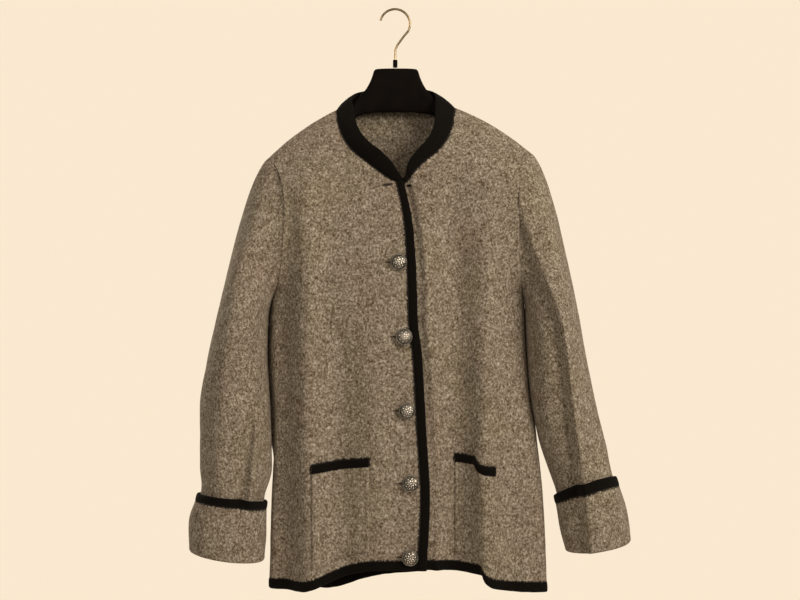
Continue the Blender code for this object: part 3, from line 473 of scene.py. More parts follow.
def evenly(stops, step):
    """Even values from the first stop to the last, with every stop among them."""
    runs = []
    for start, end in zip(stops, stops[1:]):
        count = math.ceil((end - start) / step)
        runs.append(np.linspace(start, end, count + 1)[:-1])
    return np.concatenate(runs + [stops[-1:]])


def rounded_steps(start, end, count):
    """Values from start to end that crowd at both ends, as round an edge."""
    return start + (end - start) * (1 - np.cos(np.linspace(0, math.pi, count + 1))) / 2


def fold_shape(x, z, top_x, top_z, foot_x, foot_z, half):
    """How far up a fold these places lie, from 0 to 1, and its bell's height there."""
    share = (z - foot_z) / (top_z - foot_z)
    middle = foot_x + (top_x - foot_x) * share
    return share, np.exp(-(((x - middle) / half) ** 2))


def fold_push(panel, x, z):
    """How far the folds of one panel move the cloth out at these places."""
    push = np.zeros_like(x)
    for name, top_x, top_z, foot_x, foot_z, half, height in FOLDS:
        if name == panel:
            bell = fold_shape(x, z, top_x, top_z, foot_x, foot_z, half)[1]
            fade = ease(top_z - z, -FOLD_FADE / 2, FOLD_FADE) * ease(z - foot_z, -FOLD_FADE, 0.0)
            push += height * fade * bell
    return push


def step_push(beyond, height, half, reach):
    """A sharp step forward, let down again softly on both sides."""
    return height * (ease(beyond, -half, half) - ease(beyond, -reach, reach))


def run_lengths(points, axis):
    """How far along its rows or columns each of these points lies."""
    steps = np.linalg.norm(np.diff(points, axis=axis), axis=-1)
    start = np.zeros_like(np.take(steps, [0], axis=axis))
    return np.cumsum(np.concatenate([start, steps], axis=axis), axis=axis)


def resample(line, shares):
    """Points at these shares of a line's length."""
    run = run_lengths(line, 0)
    places = np.asarray(shares) * run[-1]
    return np.stack([np.interp(places, run, line[:, i]) for i in range(3)], axis=1)


def row_between(start, end, turn):
    """The dense row from a middle line to a side line, square or straight as turn says."""
    share = np.sin(np.linspace(0.0, math.pi / 2, ROW_POINTS))
    share[-1] = 1.0
    x = start[0] + (end[0] - start[0]) * share
    y = end[1] + (start[1] - end[1]) * (1 - share**turn) ** (1 / turn)
    return x, y, share


def hem_or_straight(hem, share, level):
    straight = ease(level, HEM_LEVEL, STRAIGHT_LEVEL)
    return (1 - straight) * hem + straight * share


def front_row(side, level):
    """One row of a front, from its edge or neckline to its side or armhole."""
    start = through(FRONT_EDGE[side] if level <= NECK else NECKLINE[side], level)[0]
    end = through(FRONT_SIDE[side], level)[0]
    x, y, share = row_between(start, end, through(FRONT_TURN, level, 0)[0])
    if side == "left":
        crease, height, half, over, taken, run = through(FRONT_STEP, level)[0]
        beyond = x - crease
        past = 1 - np.exp(-np.maximum(beyond, 0.0) / run)
        drop = (1 - taken) * share + taken * past / past[-1]
        y = y - step_push(beyond, height, half, STEP_REACH)
        x = x - over * ease(beyond, -half, half) * (1 - ease(beyond, half, STEP_REACH))
    else:
        drop = hem_or_straight(ease(share, *HEM_DROP), share, level)
    z = start[2] + (end[2] - start[2]) * drop
    y = y - fold_push(side, x, z) * (1 - share**FOLD_SIDE_POWER) * ease(share, *FOLD_START)
    z = z + SHOULDER_ARCH * 4 * share * (1 - share) * ease(level, ARCH_START, 2.0)
    if side == "left":
        edge = through(FRONT_EDGE["right"], min(level, NECK), 0)[0]
        y = y + UNDERLAP * (1 - ease(x, edge + UNDERLAP_START, edge + UNDERLAP_END))
    return np.stack([x, y, z], axis=1)


def front_sheet(side, levels, places):
    """Points of a front. A place is -1 at the edge, 0 where its binding ends, 1 at the side."""
    rows = []
    for level in levels:
        line = front_row(side, level)
        bound = 0.0
        if level <= NECK:
            bound = through(BINDING_WIDTH, level, 0)[0] / run_lengths(line, 0)[-1]
        shares = np.where(places < 0, bound * (1 + places), bound + (1 - bound) * places)
        rows.append(resample(line, shares))
    return np.array(rows)


def pocket_sheet(side, levels, shares):
    """Points of a front between a pocket's two sides."""
    rows = []
    for level in levels:
        line = front_row(side, level)
        order = np.argsort(line[:, 0])
        run = run_lengths(line, 0)
        first, last = np.interp(POCKET_SIDES[side], line[order, 0], run[order]) / run[-1]
        rows.append(resample(line, first + (last - first) * shares))
    return np.array(rows)


def back_arm(side):
    """The table of the back half of an armhole, which meets the front half at both ends."""
    start, *between, end = FRONT_SIDE[side][-len(BACK_ARM_Y) - 2:]
    middle = [(row[0], x, y, row[3]) for row, x, y in zip(between, BACK_ARM_X[side], BACK_ARM_Y)]
    return [start] + middle + [end]


def back_half(side, level):
    """One half row of the back, from the centre back to the side or armhole."""
    start = through(CENTRE_BACK, level)[0]
    end = through(FRONT_SIDE[side] if level <= 1.0 else back_arm(side), level)[0]
    x, y, share = row_between(start, end, through(BACK_TURN, level, 0)[0])
    z = start[2] + (end[2] - start[2]) * hem_or_straight(ease(share), share, level)
    behind = (y - end[1]) / (start[1] - end[1])
    full = through(BACK_FULLNESS[side], level, 0)[0]
    x = x + SIGN[side] * full * np.sin(math.pi * behind)
    y = y + fold_push("back", x, z) * (1 - share**FOLD_SIDE_POWER)
    dip = np.sin(math.pi * share**BACK_DIP_POWER) ** 2 * (1 - ease(level, 0.0, BACK_DIP_TOP))
    z = z - BACK_HEM_DIP[side] * dip
    return np.stack([x, y, z], axis=1)


def back_sheet(levels, fronts):
    """The back from right to left, joined to the fronts at the shoulders and sides."""
    inner = np.linspace(0.0, NECK_SHARE, NECK_COLUMNS + 1)[:-1]
    outer = NECK_SHARE + (1 - NECK_SHARE) * np.linspace(0.0, 1.0, FRONT_COLUMNS + 1)
    shares = np.concatenate([inner, outer])
    body = levels <= 1.0
    halves = {}
    for side in SIDES:
        rows = np.array([resample(back_half(side, level), shares) for level in levels])
        neck, middle = fronts[side][-1, 0], rows[-1, 0]
        angle = (inner / NECK_SHARE * math.pi / 2)[:, None]
        top = middle + (neck - middle) * np.concatenate(
            [np.sin(angle), 1 - np.cos(angle), 1 - np.cos(angle)], axis=1
        )
        top = np.concatenate([top, fronts[side][-1]])
        rows += ease(levels, BACK_BEND, 2.0)[:, None, None] * (top - rows[-1])[None]
        rows[body, -1] = fronts[side][body, -1]
        halves[side] = rows
    return np.concatenate([halves["right"][:, ::-1], halves["left"][:, 1:]], axis=1)


def armhole(side, levels, front, back):
    """The armhole's points, from the underarm up its front and down its back."""
    first = int(np.argmax(levels >= 1.0))
    return np.concatenate([front[first:, -1], back[first + 1:-1, SIDE_COLUMN[side]][::-1]])


def sleeve_ring(side, level, angles, out=0.0):
    """A ring of the sleeve at a row of its table, or between rows."""
    table = [(i,) + row for i, row in enumerate(SLEEVE_RINGS[side])]
    z, cx, cy, half_width, half_depth, tilt, lean = through(table, level)[0]
    x = -SIGN[side] * (half_width + out) * np.cos(angles)
    y = cy - (half_depth + out) * np.sin(angles)
    return np.stack([cx + x, y, z + tilt * x - lean * (y - cy)], axis=1)


def sleeve_angles(loop, tip):
    """The angle round the sleeve of each armhole point: 0 at the underarm, pi at the shoulder."""
    run = run_lengths(np.concatenate([loop, loop[:1]]), 0)
    up = run[: tip + 1] / run[tip] * math.pi
    down = math.pi + (run[tip + 1:-1] - run[tip]) / (run[-1] - run[tip]) * math.pi
    return np.concatenate([up, down])


def sleeve_sheet(side, loop, angles):
    """The sleeve from its armhole down to the end that the cuff hides."""
    first_ring = sleeve_ring(side, 0.0, angles)
    height = (loop[:, 2] - loop[:, 2].min()) / np.ptp(loop[:, 2])
    rise = np.sin(math.pi / 2 * np.clip(2 * height, 0, 1))
    turn = np.radians(CAP_START + (CAP_SPREAD - CAP_START) * rise)
    turn = turn - np.radians(CAP_LEAN) * ease(height, 0.5, 1.0)
    ahead = unit(sleeve_ring(side, CAP_AHEAD, angles) - first_ring)
    leave = np.stack([SIGN[side] * np.sin(turn), np.zeros_like(turn), -np.cos(turn)], axis=1)
    leave = leave * (1 - CAP_EASE * ease(height, 0.5, 1.0))[:, None]
    reach = np.linalg.norm(first_ring - loop, axis=1)[:, None]
    rows = []
    for t in np.linspace(0.0, 1.0, SLEEVE_CAP_ROWS + 1)[:-1]:
        rows.append(blend(t, loop, reach * leave, first_ring, reach * ahead))
    for level in np.linspace(0.0, CUFF_FOOT, SLEEVE_ROWS + 1):
        rows.append(sleeve_ring(side, level, angles))
    return np.array(rows)


def crease_sleeve(side, grid, normals):
    """Moves a sleeve's or a cuff's points by the sleeve's creases."""
    x, z = grid[..., 0], grid[..., 2]
    faces = {
        "front": -ease(-normals[..., 1], *FACE_TURN),
        "back": ease(normals[..., 1], *FACE_TURN),
    }
    moved = grid.copy()
    for name, face, top_x, top_z, foot_x, foot_z, half, height in CREASES:
        if name == side:
            share, bell = fold_shape(x, z, top_x, top_z, foot_x, foot_z, half)
            fade = ease(share, -CREASE_FADE, CREASE_FADE)
            fade = fade * (1 - ease(share, 1 - CREASE_FADE, 1 + CREASE_FADE))
            moved[..., 1] += height * fade * bell * faces[face]
    if side == "left":
        step = through(SLEEVE_STEP, np.clip(z.ravel(), SLEEVE_STEP[0][0], SLEEVE_STEP[-1][0]))
        step = step.reshape(z.shape + (2,))
        push = step_push(x - step[..., 0], step[..., 1], SLEEVE_STEP_HALF, SLEEVE_STEP_REACH)
        moved[..., 1] += push * faces["front"]
    return moved


def collar_sheet(levels, fronts, back):
    """The collar from the right front's edge round the neck to the left front's edge."""
    first = int(np.argmax(levels >= NECK))
    seams, tops = {}, {}
    for side in SIDES:
        lap = front_sheet(side, [NECK], np.linspace(-1.0, 0.0, COLLAR_END_STEPS + 1)[:-1])[0]
        seam = np.concatenate([lap, fronts[side][first:, 0]])
        run = run_lengths(seam, 0)
        seams[side] = seam
        tops[side] = through(COLLAR_TOP[side], run / run[-1])
    share = np.arange(NECK_COLUMNS) / NECK_COLUMNS
    middle = back.shape[1] // 2
    back_seam = back[-1, middle - NECK_COLUMNS + 1: middle + NECK_COLUMNS]
    right_back = through(COLLAR_TOP["right"], 2.0 - share[::-1])
    left_back = through(COLLAR_TOP["left"], 2.0 - share[1:])
    seam = np.concatenate([seams["right"], back_seam, seams["left"][::-1]])
    top = np.concatenate([tops["right"], right_back, left_back, tops["left"][::-1]])
    rise = (top - seam)[None]
    across = np.gradient(seam, axis=0)[None]
    bulge = unit(np.cross(rise, across)) * np.linalg.norm(rise, axis=-1, keepdims=True)
    t = rounded_steps(-COLLAR_LAP, 1.0, COLLAR_STEPS)[:, None, None]
    return seam + rise * t + bulge * COLLAR_BULGE * np.sin(math.pi * np.clip(t, 0, 1))


def normals_of(grid, sign, wrap=False):
    """Unit normals of a grid of points: sign says on which side of it out is."""
    padded = np.concatenate([grid[:, -1:], grid, grid[:, :1]], axis=1) if wrap else grid
    along = np.gradient(padded, axis=1)
    up = np.gradient(padded, axis=0)
    normals = sign * unit(np.cross(along, up))
    return normals[:, 1:-1] if wrap else normals


def share_normals(one, other):
    """Panels that meet take one normal along their seam, so that their walls mitre."""
    one[...] = other[...] = unit(one + other)


def lumps(points):
    """How far the felted cloth's own unevenness lifts it at these points."""
    lift = [
        sum(
            height * noise.noise(Vector(p) / size + Vector(start))
            for height, size, start in LUMPS
        )
        for p in points.reshape(-1, 3)
    ]
    return np.array(lift).reshape(points.shape[:-1])[..., None]


def grid_faces(rows, columns, wrap):
    """Quads between the points of a grid, as their indices and their corners' row and column."""
    last = columns if wrap else columns - 1
    row, column = np.meshgrid(np.arange(rows - 1), np.arange(last), indexing="ij")
    row, column = row.ravel(), column.ravel()
    corner_rows = np.stack([row, row, row + 1, row + 1], axis=1)
    corner_columns = np.stack([column, column + 1, column + 1, column], axis=1)
    return corner_rows * columns + corner_columns % columns, corner_rows, corner_columns


def shell(name, outer, inner, material, wrap=False, marks=None):
    """A closed wall between two grids of points, with rims, and its UV map in metres."""
    rows, columns = outer.shape[:2]
    count = rows * columns
    faces, corner_rows, corner_columns = grid_faces(rows, columns, wrap)
    first, last = np.arange(columns), np.arange(columns) + (rows - 1) * columns
    edges = [(first, True), (last, False)]
    if not wrap:
        start = np.arange(rows) * columns
        edges += [(start, False), (start + columns - 1, True)]
    rims = []
    for line, forward in edges:
        a, b = (line, np.roll(line, -1)) if wrap else (line[:-1], line[1:])
        strip = np.stack([a, b, b + count, a + count], axis=1)
        rims.append(strip if forward else strip[:, ::-1])
    all_faces = np.concatenate([faces, faces[:, ::-1] + count] + rims)
    mesh = bpy.data.meshes.new(name)
    points = np.concatenate([outer.reshape(-1, 3), inner.reshape(-1, 3)])
    mesh.from_pydata(points, [], all_faces.tolist())
    along = run_lengths(outer, 1)
    across = run_lengths(outer, 0)
    closing = np.linalg.norm(outer[:, 0] - outer[:, -1], axis=-1)[:, None]
    along = np.concatenate([along, along[:, -1:] + closing], axis=1)
    across = np.concatenate([across, across[:, :1]], axis=1)
    place = np.stack([along, across], axis=-1)
    skin = place[corner_rows, corner_columns]
    low = place[:, :columns].reshape(-1, 2)
    rim = [low[strip % count] for strip in rims]
    uv = np.concatenate([skin, skin[:, ::-1]] + rim).reshape(-1)
    mesh.uv_layers.new(name="cloth").data.foreach_set("uv", uv.astype(np.float32))
    if marks is not None:
        layer = mesh.attributes.new("to_band", "FLOAT", "POINT")
        layer.data.foreach_set("value", np.tile(marks.ravel(), 2).astype(np.float32))
    return sew(name, mesh, material)


def add_object(name, data):
    """Puts new data into the scene as an object at the origin."""
    made = bpy.data.objects.new(name, data)
    bpy.context.scene.collection.objects.link(made)
    return made


def sew(name, mesh, material):
    """Merges a mesh's doubles, turns its faces out and makes it a smooth piece."""
    data = bmesh.new()
    data.from_mesh(mesh)
    bmesh.ops.remove_doubles(data, verts=data.verts, dist=1e-6)
    bmesh.ops.dissolve_degenerate(data, edges=data.edges, dist=1e-7)
    bmesh.ops.recalc_face_normals(data, faces=data.faces)
    data.to_mesh(mesh)
    data.free()
    mesh.shade_smooth()
    mesh.set_sharp_from_angle(angle=math.radians(50))
    mesh.materials.append(material)
    return add_object(name, mesh)


def dress(piece, node):
    """Hangs a piece on the one body in place of the CAD node it shows."""
    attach(piece, "root")
    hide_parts(node)


def cloth_piece(node, outer, inner, wool, wrap=False, marks=None):
    """A piece of boiled wool between two grids of points."""
    dress(shell(node + "_cloth", outer, inner, wool, wrap, marks), node)


def panel(node, grid, normals, wool, wrap=False, marks=None):
    """A piece of boiled wool whose face is this grid."""
    cloth_piece(node, grid, grid - normals * CLOTH, wool, wrap, marks)


def band(node, strip, normals, knit, half=BAND_HALF, wrap=False):
    """Knit folded over an edge: a flat tube round a strip whose rows run across it."""
    count = len(strip) - 1
    round_share = np.abs(np.cos(np.linspace(0, math.pi, count + 1))) ** BAND_ROUND
    swell = (half * (1 - round_share) ** (1 / BAND_ROUND))[:, None, None]
    width = unit(strip[-1] - strip[0])
    wander = lumps(strip[:1] * WANDER_FINER)[0] * WANDER_LESS
    spread = np.linspace(-1, 1, count + 1)[:, None, None]
    strip = strip + width[None] * wander[None] * spread
    middle = strip - normals * CLOTH / 2
    piece = shell(node + "_band", middle + normals * swell, middle - normals * swell, knit, wrap)
    dress(piece, node)


def linear(hex_colour):
    """The linear colour of an sRGB hex value, with an alpha of 1."""
    channels = [int(hex_colour[i: i + 2], 16) / 255 for i in (1, 3, 5)]
    return [c / 12.92 if c <= 0.04045 else ((c + 0.055) / 1.055) ** 2.4 for c in channels] + [1.0]


def set_inputs(tree, node, inputs):
    """Gives a node's inputs their values, or the sockets that feed them."""
    for name, value in inputs.items():
        if isinstance(value, bpy.types.NodeSocket):
            tree.links.new(value, node.inputs[name])
        else:
            node.inputs[name].default_value = value


def add_node(tree, kind, inputs=None, **settings):
    """Adds a node with its settings and inputs."""
    node = tree.nodes.new(kind)
    for key, value in settings.items():
        setattr(node, key, value)
    set_inputs(tree, node, inputs or {})
    return node


def new_material(name):
    material = bpy.data.materials.new(name)
    material.use_nodes = True
    tree = material.node_tree
    return material, tree, tree.nodes["Principled BSDF"]


def set_stops(ramp, stops):
    """Gives a colour ramp these places and hex colours."""
    elements = ramp.color_ramp.elements
    while len(elements) < len(stops):
        elements.new(1.0)
    for element, (place, colour) in zip(elements, stops):
        element.position = place
        element.color = linear(colour)


def boiled_wool():
    """Boiled wool: knitted from undyed dark and pale fleece, then fulled until no stitch shows.
    It is matt, a salt-and-pepper of fibre clumps 2 to 3 mm across, with a soft pale nap."""
    material, tree, shader = new_material("boiled wool, grey-brown melange")
    place = add_node(tree, "ShaderNodeTexCoord").outputs["Object"]
    stretched = add_node(
        tree, "ShaderNodeMapping", {"Vector": place, "Scale": (1.0, 1.0, 0.85)}
    ).outputs["Vector"]
    clumps = add_node(
        tree, "ShaderNodeTexNoise",
        {"Vector": stretched, "Scale": 1 / 0.0028, "Detail": 3.0, "Roughness": 0.62,
         "Distortion": 0.6},
    ).outputs["Fac"]
    fibres = add_node(
        tree, "ShaderNodeTexNoise",
        {"Vector": place, "Scale": 1 / 0.0011, "Detail": 2.0, "Roughness": 0.6, "Distortion": 1.6},
    ).outputs["Fac"]
    patches = add_node(
        tree, "ShaderNodeTexNoise", {"Vector": place, "Scale": 1 / 0.011, "Detail": 2.0}
    ).outputs["Fac"]
    drift = add_node(
        tree, "ShaderNodeTexNoise", {"Vector": place, "Scale": 1 / 0.085, "Detail": 1.0}
    ).outputs["Fac"]
    speckle = 0.0
    for pattern, share in ((clumps, 0.62), (fibres, 0.26), (patches, 0.12)):
        speckle = add_node(
            tree, "ShaderNodeMath", {0: pattern, 1: share, 2: speckle}, operation="MULTIPLY_ADD"
        ).outputs[0]
    melange = add_node(tree, "ShaderNodeValToRGB", {"Fac": speckle})
    set_stops(
        melange, ((0.36, "#403220"), (0.45, "#6c6152"), (0.53, "#90877a"), (0.64, "#c6bfb5"))
    )
    tint = add_node(tree, "ShaderNodeValToRGB", {"Fac": drift})
    set_stops(tint, ((0.30, "#fdf8f8"), (0.50, "#ffffff"), (0.72, "#fbfbf4")))
    tinted = add_node(
        tree, "ShaderNodeMix", {0: 1.0, 6: melange.outputs["Color"], 7: tint.outputs["Color"]},
        data_type="RGBA", blend_type="MULTIPLY",
    ).outputs[2]
    # Black fibres of the knit bands are felted into the first 2 mm of the cloth beside them.
    gap = add_node(tree, "ShaderNodeAttribute", attribute_name="to_band").outputs["Fac"]
    teeth = add_node(
        tree, "ShaderNodeTexNoise", {"Vector": place, "Scale": 1 / 0.0022, "Detail": 2.0}
    ).outputs["Fac"]
    reach = add_node(
        tree, "ShaderNodeMapRange",
        {"Value": teeth, "From Min": 0.35, "From Max": 0.70, "To Min": 0.0, "To Max": 0.0030},
    ).outputs["Result"]
    past = add_node(tree, "ShaderNodeMath", {0: reach, 1: gap}, operation="SUBTRACT").outputs[0]
    fray = add_node(
        tree, "ShaderNodeMapRange", {"Value": past, "From Min": -0.0002, "From Max": 0.0006}
    ).outputs["Result"]
    colour = add_node(
        tree, "ShaderNodeMix", {0: fray, 6: tinted, 7: linear("#1d1a18")}, data_type="RGBA"
    ).outputs[2]
    height = add_node(
        tree, "ShaderNodeMath", {0: fibres, 1: 0.5, 2: clumps}, operation="MULTIPLY_ADD"
    ).outputs[0]
    bump = add_node(
        tree, "ShaderNodeBump", {"Height": height, "Strength": 0.55, "Distance": 0.0012}
    ).outputs["Normal"]
    set_inputs(tree, shader, {
        "Base Color": colour, "Normal": bump, "Roughness": 0.95, "IOR": 1.54,
        "Specular IOR Level": 0.25, "Sheen Weight": 0.22, "Sheen Roughness": 0.45,
        "Sheen Tint": linear("#efe6d8"),
    })
    return material


def felted_knit():
    """Black felted knit: a fine rib of dyed wool, fulled soft. It is matt and nearly black, with
    faint ribs across the band, a little lint and a fuzzy nap that greys at a low angle."""
    material, tree, shader = new_material("felted knit, black wool")
    place = add_node(tree, "ShaderNodeTexCoord").outputs["Object"]
    cloth = add_node(tree, "ShaderNodeUVMap", uv_map="cloth").outputs["UV"]
    # At a scale of 1 these waves are 314 mm apart, so the ribs are 1.5 mm apart.
    ribs = add_node(
        tree, "ShaderNodeTexWave",
        {"Vector": cloth, "Scale": 1 / 0.0048, "Distortion": 2.5, "Detail": 2.0,
         "Detail Scale": 1.5},
        bands_direction="X",
    ).outputs["Fac"]
    nap = add_node(
        tree, "ShaderNodeTexNoise",
        {"Vector": place, "Scale": 1 / 0.0014, "Detail": 3.0, "Roughness": 0.65,
         "Distortion": 1.0},
    ).outputs["Fac"]
    shade = add_node(tree, "ShaderNodeValToRGB", {"Fac": nap})
    set_stops(shade, ((0.35, "#060504"), (0.55, "#0e0b09"), (0.70, "#1c1714"), (0.82, "#3b332b")))
    height = add_node(
        tree, "ShaderNodeMath", {0: ribs, 1: 0.35, 2: nap}, operation="MULTIPLY_ADD"
    ).outputs[0]
    bump = add_node(
        tree, "ShaderNodeBump", {"Height": height, "Strength": 0.7, "Distance": 0.0010}
    ).outputs["Normal"]
    set_inputs(tree, shader, {
        "Base Color": shade.outputs["Color"], "Normal": bump, "Roughness": 0.95, "IOR": 1.54,
        "Specular IOR Level": 0.08, "Sheen Weight": 0.03, "Sheen Roughness": 0.5,
    })
    return material


def pewter():
    """Antique pewter: cast buttons, stained dark and rubbed bright on the raised ornament."""
    material, tree, shader = new_material("pewter, cast and antiqued")
    place = add_node(tree, "ShaderNodeTexCoord").outputs["Object"]
    raised = add_node(tree, "ShaderNodeAttribute", attribute_name="raised").outputs["Fac"]
    stain = add_node(
        tree, "ShaderNodeTexNoise", {"Vector": place, "Scale": 1 / 0.0016, "Detail": 4.0}
    ).outputs["Fac"]
    worn = add_node(
        tree, "ShaderNodeMath", {0: stain, 1: 0.7, 2: raised}, operation="MULTIPLY_ADD"
    ).outputs[0]
    tone = add_node(tree, "ShaderNodeValToRGB", {"Fac": worn})
    set_stops(tone, ((0.25, "#3f3c37"), (0.55, "#938e86"), (0.95, "#f0ece4")))
    rough = add_node(
        tree, "ShaderNodeMapRange",
        {"Value": worn, "From Min": 0.2, "From Max": 1.2, "To Min": 0.45, "To Max": 0.24},
    ).outputs["Result"]
    bump = add_node(
        tree, "ShaderNodeBump", {"Height": stain, "Strength": 0.25, "Distance": 0.0003}
    ).outputs["Normal"]
    set_inputs(tree, shader, {
        "Base Color": tone.outputs["Color"], "Roughness": rough, "Normal": bump, "Metallic": 1.0,
    })
    return material


def hanger_plastic():
    """Black polystyrene, moulded with a fine matt grain, a little dusty."""
    material, tree, shader = new_material("polystyrene, moulded black")
    place = add_node(tree, "ShaderNodeTexCoord").outputs["Object"]
    grain = add_node(
        tree, "ShaderNodeTexNoise", {"Vector": place, "Scale": 1 / 0.0008, "Detail": 2.0}
    ).outputs["Fac"]
    dust = add_node(
        tree, "ShaderNodeTexNoise", {"Vector": place, "Scale": 1 / 0.02, "Detail": 4.0}
    ).outputs["Fac"]
    tone = add_node(tree, "ShaderNodeValToRGB", {"Fac": dust})
    set_stops(tone, ((0.35, "#070403"), (0.75, "#120b08")))
    rough = add_node(
        tree, "ShaderNodeMapRange", {"Value": dust, "To Min": 0.60, "To Max": 0.80}
    ).outputs["Result"]
    bump = add_node(
        tree, "ShaderNodeBump", {"Height": grain, "Strength": 0.15, "Distance": 0.0002}
    ).outputs["Normal"]
    set_inputs(tree, shader, {
        "Base Color": tone.outputs["Color"], "Roughness": rough, "Normal": bump, "IOR": 1.59,
        "Specular IOR Level": 0.06,
    })
    return material


def plated_wire():
    """Steel wire, drawn, bent and brass plated, with dull spots."""
    material, tree, shader = new_material("steel wire, brass plated")
    place = add_node(tree, "ShaderNodeTexCoord").outputs["Object"]
    spots = add_node(
        tree, "ShaderNodeTexNoise", {"Vector": place, "Scale": 1 / 0.004, "Detail": 4.0}
    ).outputs["Fac"]
    tone = add_node(tree, "ShaderNodeValToRGB", {"Fac": spots})
    set_stops(tone, ((0.35, "#8d7d63"), (0.65, "#b9a888")))
    rough = add_node(
        tree, "ShaderNodeMapRange", {"Value": spots, "To Min": 0.22, "To Max": 0.42}
    ).outputs["Result"]
    set_inputs(tree, shader, {
        "Base Color": tone.outputs["Color"], "Roughness": rough, "Metallic": 1.0,
    })
    return material


def thread(name, hex_dark, hex_light):
    """Spun polyester thread: a faint twist 0.6 mm long and a low gloss; made near black, the same
    material is also the painted shadow inside the slits.
    """
    material, tree, shader = new_material(name)
    place = add_node(tree, "ShaderNodeTexCoord").outputs["Object"]
    twist = add_node(
        tree, "ShaderNodeTexNoise", {"Vector": place, "Scale": 1 / 0.0006, "Detail": 2.0}
    ).outputs["Fac"]
    tone = add_node(tree, "ShaderNodeValToRGB", {"Fac": twist})
    set_stops(tone, ((0.35, hex_dark), (0.65, hex_light)))
    bump = add_node(
        tree, "ShaderNodeBump", {"Height": twist, "Strength": 0.5, "Distance": 0.0003}
    ).outputs["Normal"]
    set_inputs(tree, shader, {
        "Base Color": tone.outputs["Color"], "Normal": bump, "Roughness": 0.75,
    })
    return material


class Cloth:
    """The grids of points of the jacket's panels, with their normals, worked out together."""

    def __init__(self):
        self.hem_rows = BAND_STEPS + 1
        hem = rounded_steps(0.0, BINDING_TOP + BAND_LAP / LEVEL_SPAN, BAND_STEPS)
        body = evenly((hem[-1], POCKET_TOP, 1.0), BODY_STEP)
        arm = evenly((1.0, NECK, 2.0), ARM_STEP)
        self.levels = np.concatenate([hem[:-1], body[:-1], arm])
        places = np.linspace(0.0, 1.0, FRONT_COLUMNS + 1)
        fronts = {side: front_sheet(side, self.levels, places) for side in SIDES}
        back = back_sheet(self.levels, fronts)
        self.grids = {"back": back, "collar": collar_sheet(self.levels, fronts, back)}
        self.normals = {
            "back": normals_of(back, -1),
            "collar": normals_of(self.grids["collar"], -1),
        }
        self.angles = {}
        tip = int((self.levels > 1.0).sum())
        for side in SIDES:
            front, sleeve = "front_" + side, "sleeve_" + side
            self.grids[front] = fronts[side]
            self.normals[front] = normals_of(fronts[side], SIGN[side])
            loop = armhole(side, self.levels, fronts[side], back)
            self.angles[side] = sleeve_angles(loop, tip)
            plain = sleeve_sheet(side, loop, self.angles[side])
            creased = crease_sleeve(side, plain, normals_of(plain, -SIGN[side], wrap=True))
            self.grids[sleeve] = creased
            self.normals[sleeve] = normals_of(creased, -SIGN[side], wrap=True)
            self.join_seams(side, tip)
        for name, grid in self.grids.items():
            lift = lumps(grid) - SEAM_DIP * np.exp(-((self.to_seam(name) / SEAM_HALF) ** 2))
            self.grids[name] = grid + self.normals[name] * lift

    def join_seams(self, side, tip):
        """Joins the normals of one side's panels at the shoulder seam and round the armhole. The
        armhole's points run to its tip up the front, and then down the back."""
        front, back = self.normals["front_" + side], self.normals["back"]
        sleeve = self.normals["sleeve_" + side]
        shoulder = back[-1, ::-1] if side == "right" else back[-1]
        share_normals(front[-1], shoulder[-FRONT_COLUMNS - 1:])
        first = len(self.levels) - tip - 1
        share_normals(front[first:, -1], sleeve[0, : tip + 1])
        share_normals(back[first + 1:-1, SIDE_COLUMN[side]][::-1], sleeve[0, tip + 1:])

    def to_seam(self, name):
        """How far each point of a panel is from its nearest seam, for the seam's dip."""
        grid = self.grids[name]
        across, up = run_lengths(grid, 1), run_lengths(grid, 0)
        to_end, to_top = across[:, -1:] - across, up[-1:] - up
        if name.startswith("front"):
            near = np.minimum(to_end, to_top)
        elif name == "back":
            near = np.minimum(np.minimum(across, to_end), to_top)
        elif name.startswith("sleeve"):
            near = up
        else:
            near = np.full_like(up, 1.0)
        return near[..., None]


def build_body(cloth, wool, knit):
    """Fronts and back, with the bands round the hem and down the front edges."""
    levels, hem = cloth.levels, cloth.hem_rows
    start = hem - HEM_LAP_ROWS
    to_hem = ((levels - BINDING_TOP) * LEVEL_SPAN - BAND_LAP)[:, None]
    edge_levels = levels[levels <= NECK + 1e-9]
    edge_shares = rounded_steps(-1.0, BAND_LAP / FRONT_WIDTH, BAND_STEPS)
    for side in SIDES:
        name = "front_" + side
        grid, normals = cloth.grids[name], cloth.normals[name]
        to_edge = run_lengths(grid, 1) - BAND_LAP
        x = grid[..., 0]
        low, high = sorted(POCKET_SIDES[side])
        beside = np.maximum(np.maximum(low - x, x - high), 0.0)
        above = np.maximum(POCKET_BINDING - levels, levels - POCKET_TOP)[:, None] * LEVEL_SPAN
        to_pocket = np.hypot(beside, np.maximum(above, 0.0)) - POCKET_FRAY
        marks = np.minimum(np.minimum(to_hem, to_edge), to_pocket)
        panel(name, grid[start:], normals[start:], wool, marks=marks[start:])
        edge = front_sheet(side, edge_levels, edge_shares).transpose(1, 0, 2)
        edge_normals = normals_of(edge, -SIGN[side])
        edge = edge + edge_normals * lumps(edge)
        band("edge_binding_" + side, edge, edge_normals, knit)
        band("hem_binding_" + name, grid[:hem], normals[:hem], knit)
    grid, normals = cloth.grids["back"], cloth.normals["back"]
    share = np.abs(np.arange(grid.shape[1]) - grid.shape[1] // 2) / NECK_COLUMNS
    beside = np.maximum(share - 1.0, 0.0)[None] * NECK_COLUMNS_WIDTH
    to_neck = (2.0 - levels)[:, None] * LEVEL_SPAN / 2 + beside
    marks = np.minimum(to_hem, to_neck - BAND_LAP)
    panel("back", grid[start:], normals[start:], wool, marks=marks[start:])
    band("hem_binding_back", grid[:hem], normals[:hem], knit)
    band("collar", cloth.grids["collar"], cloth.normals["collar"], knit, COLLAR_HALF)


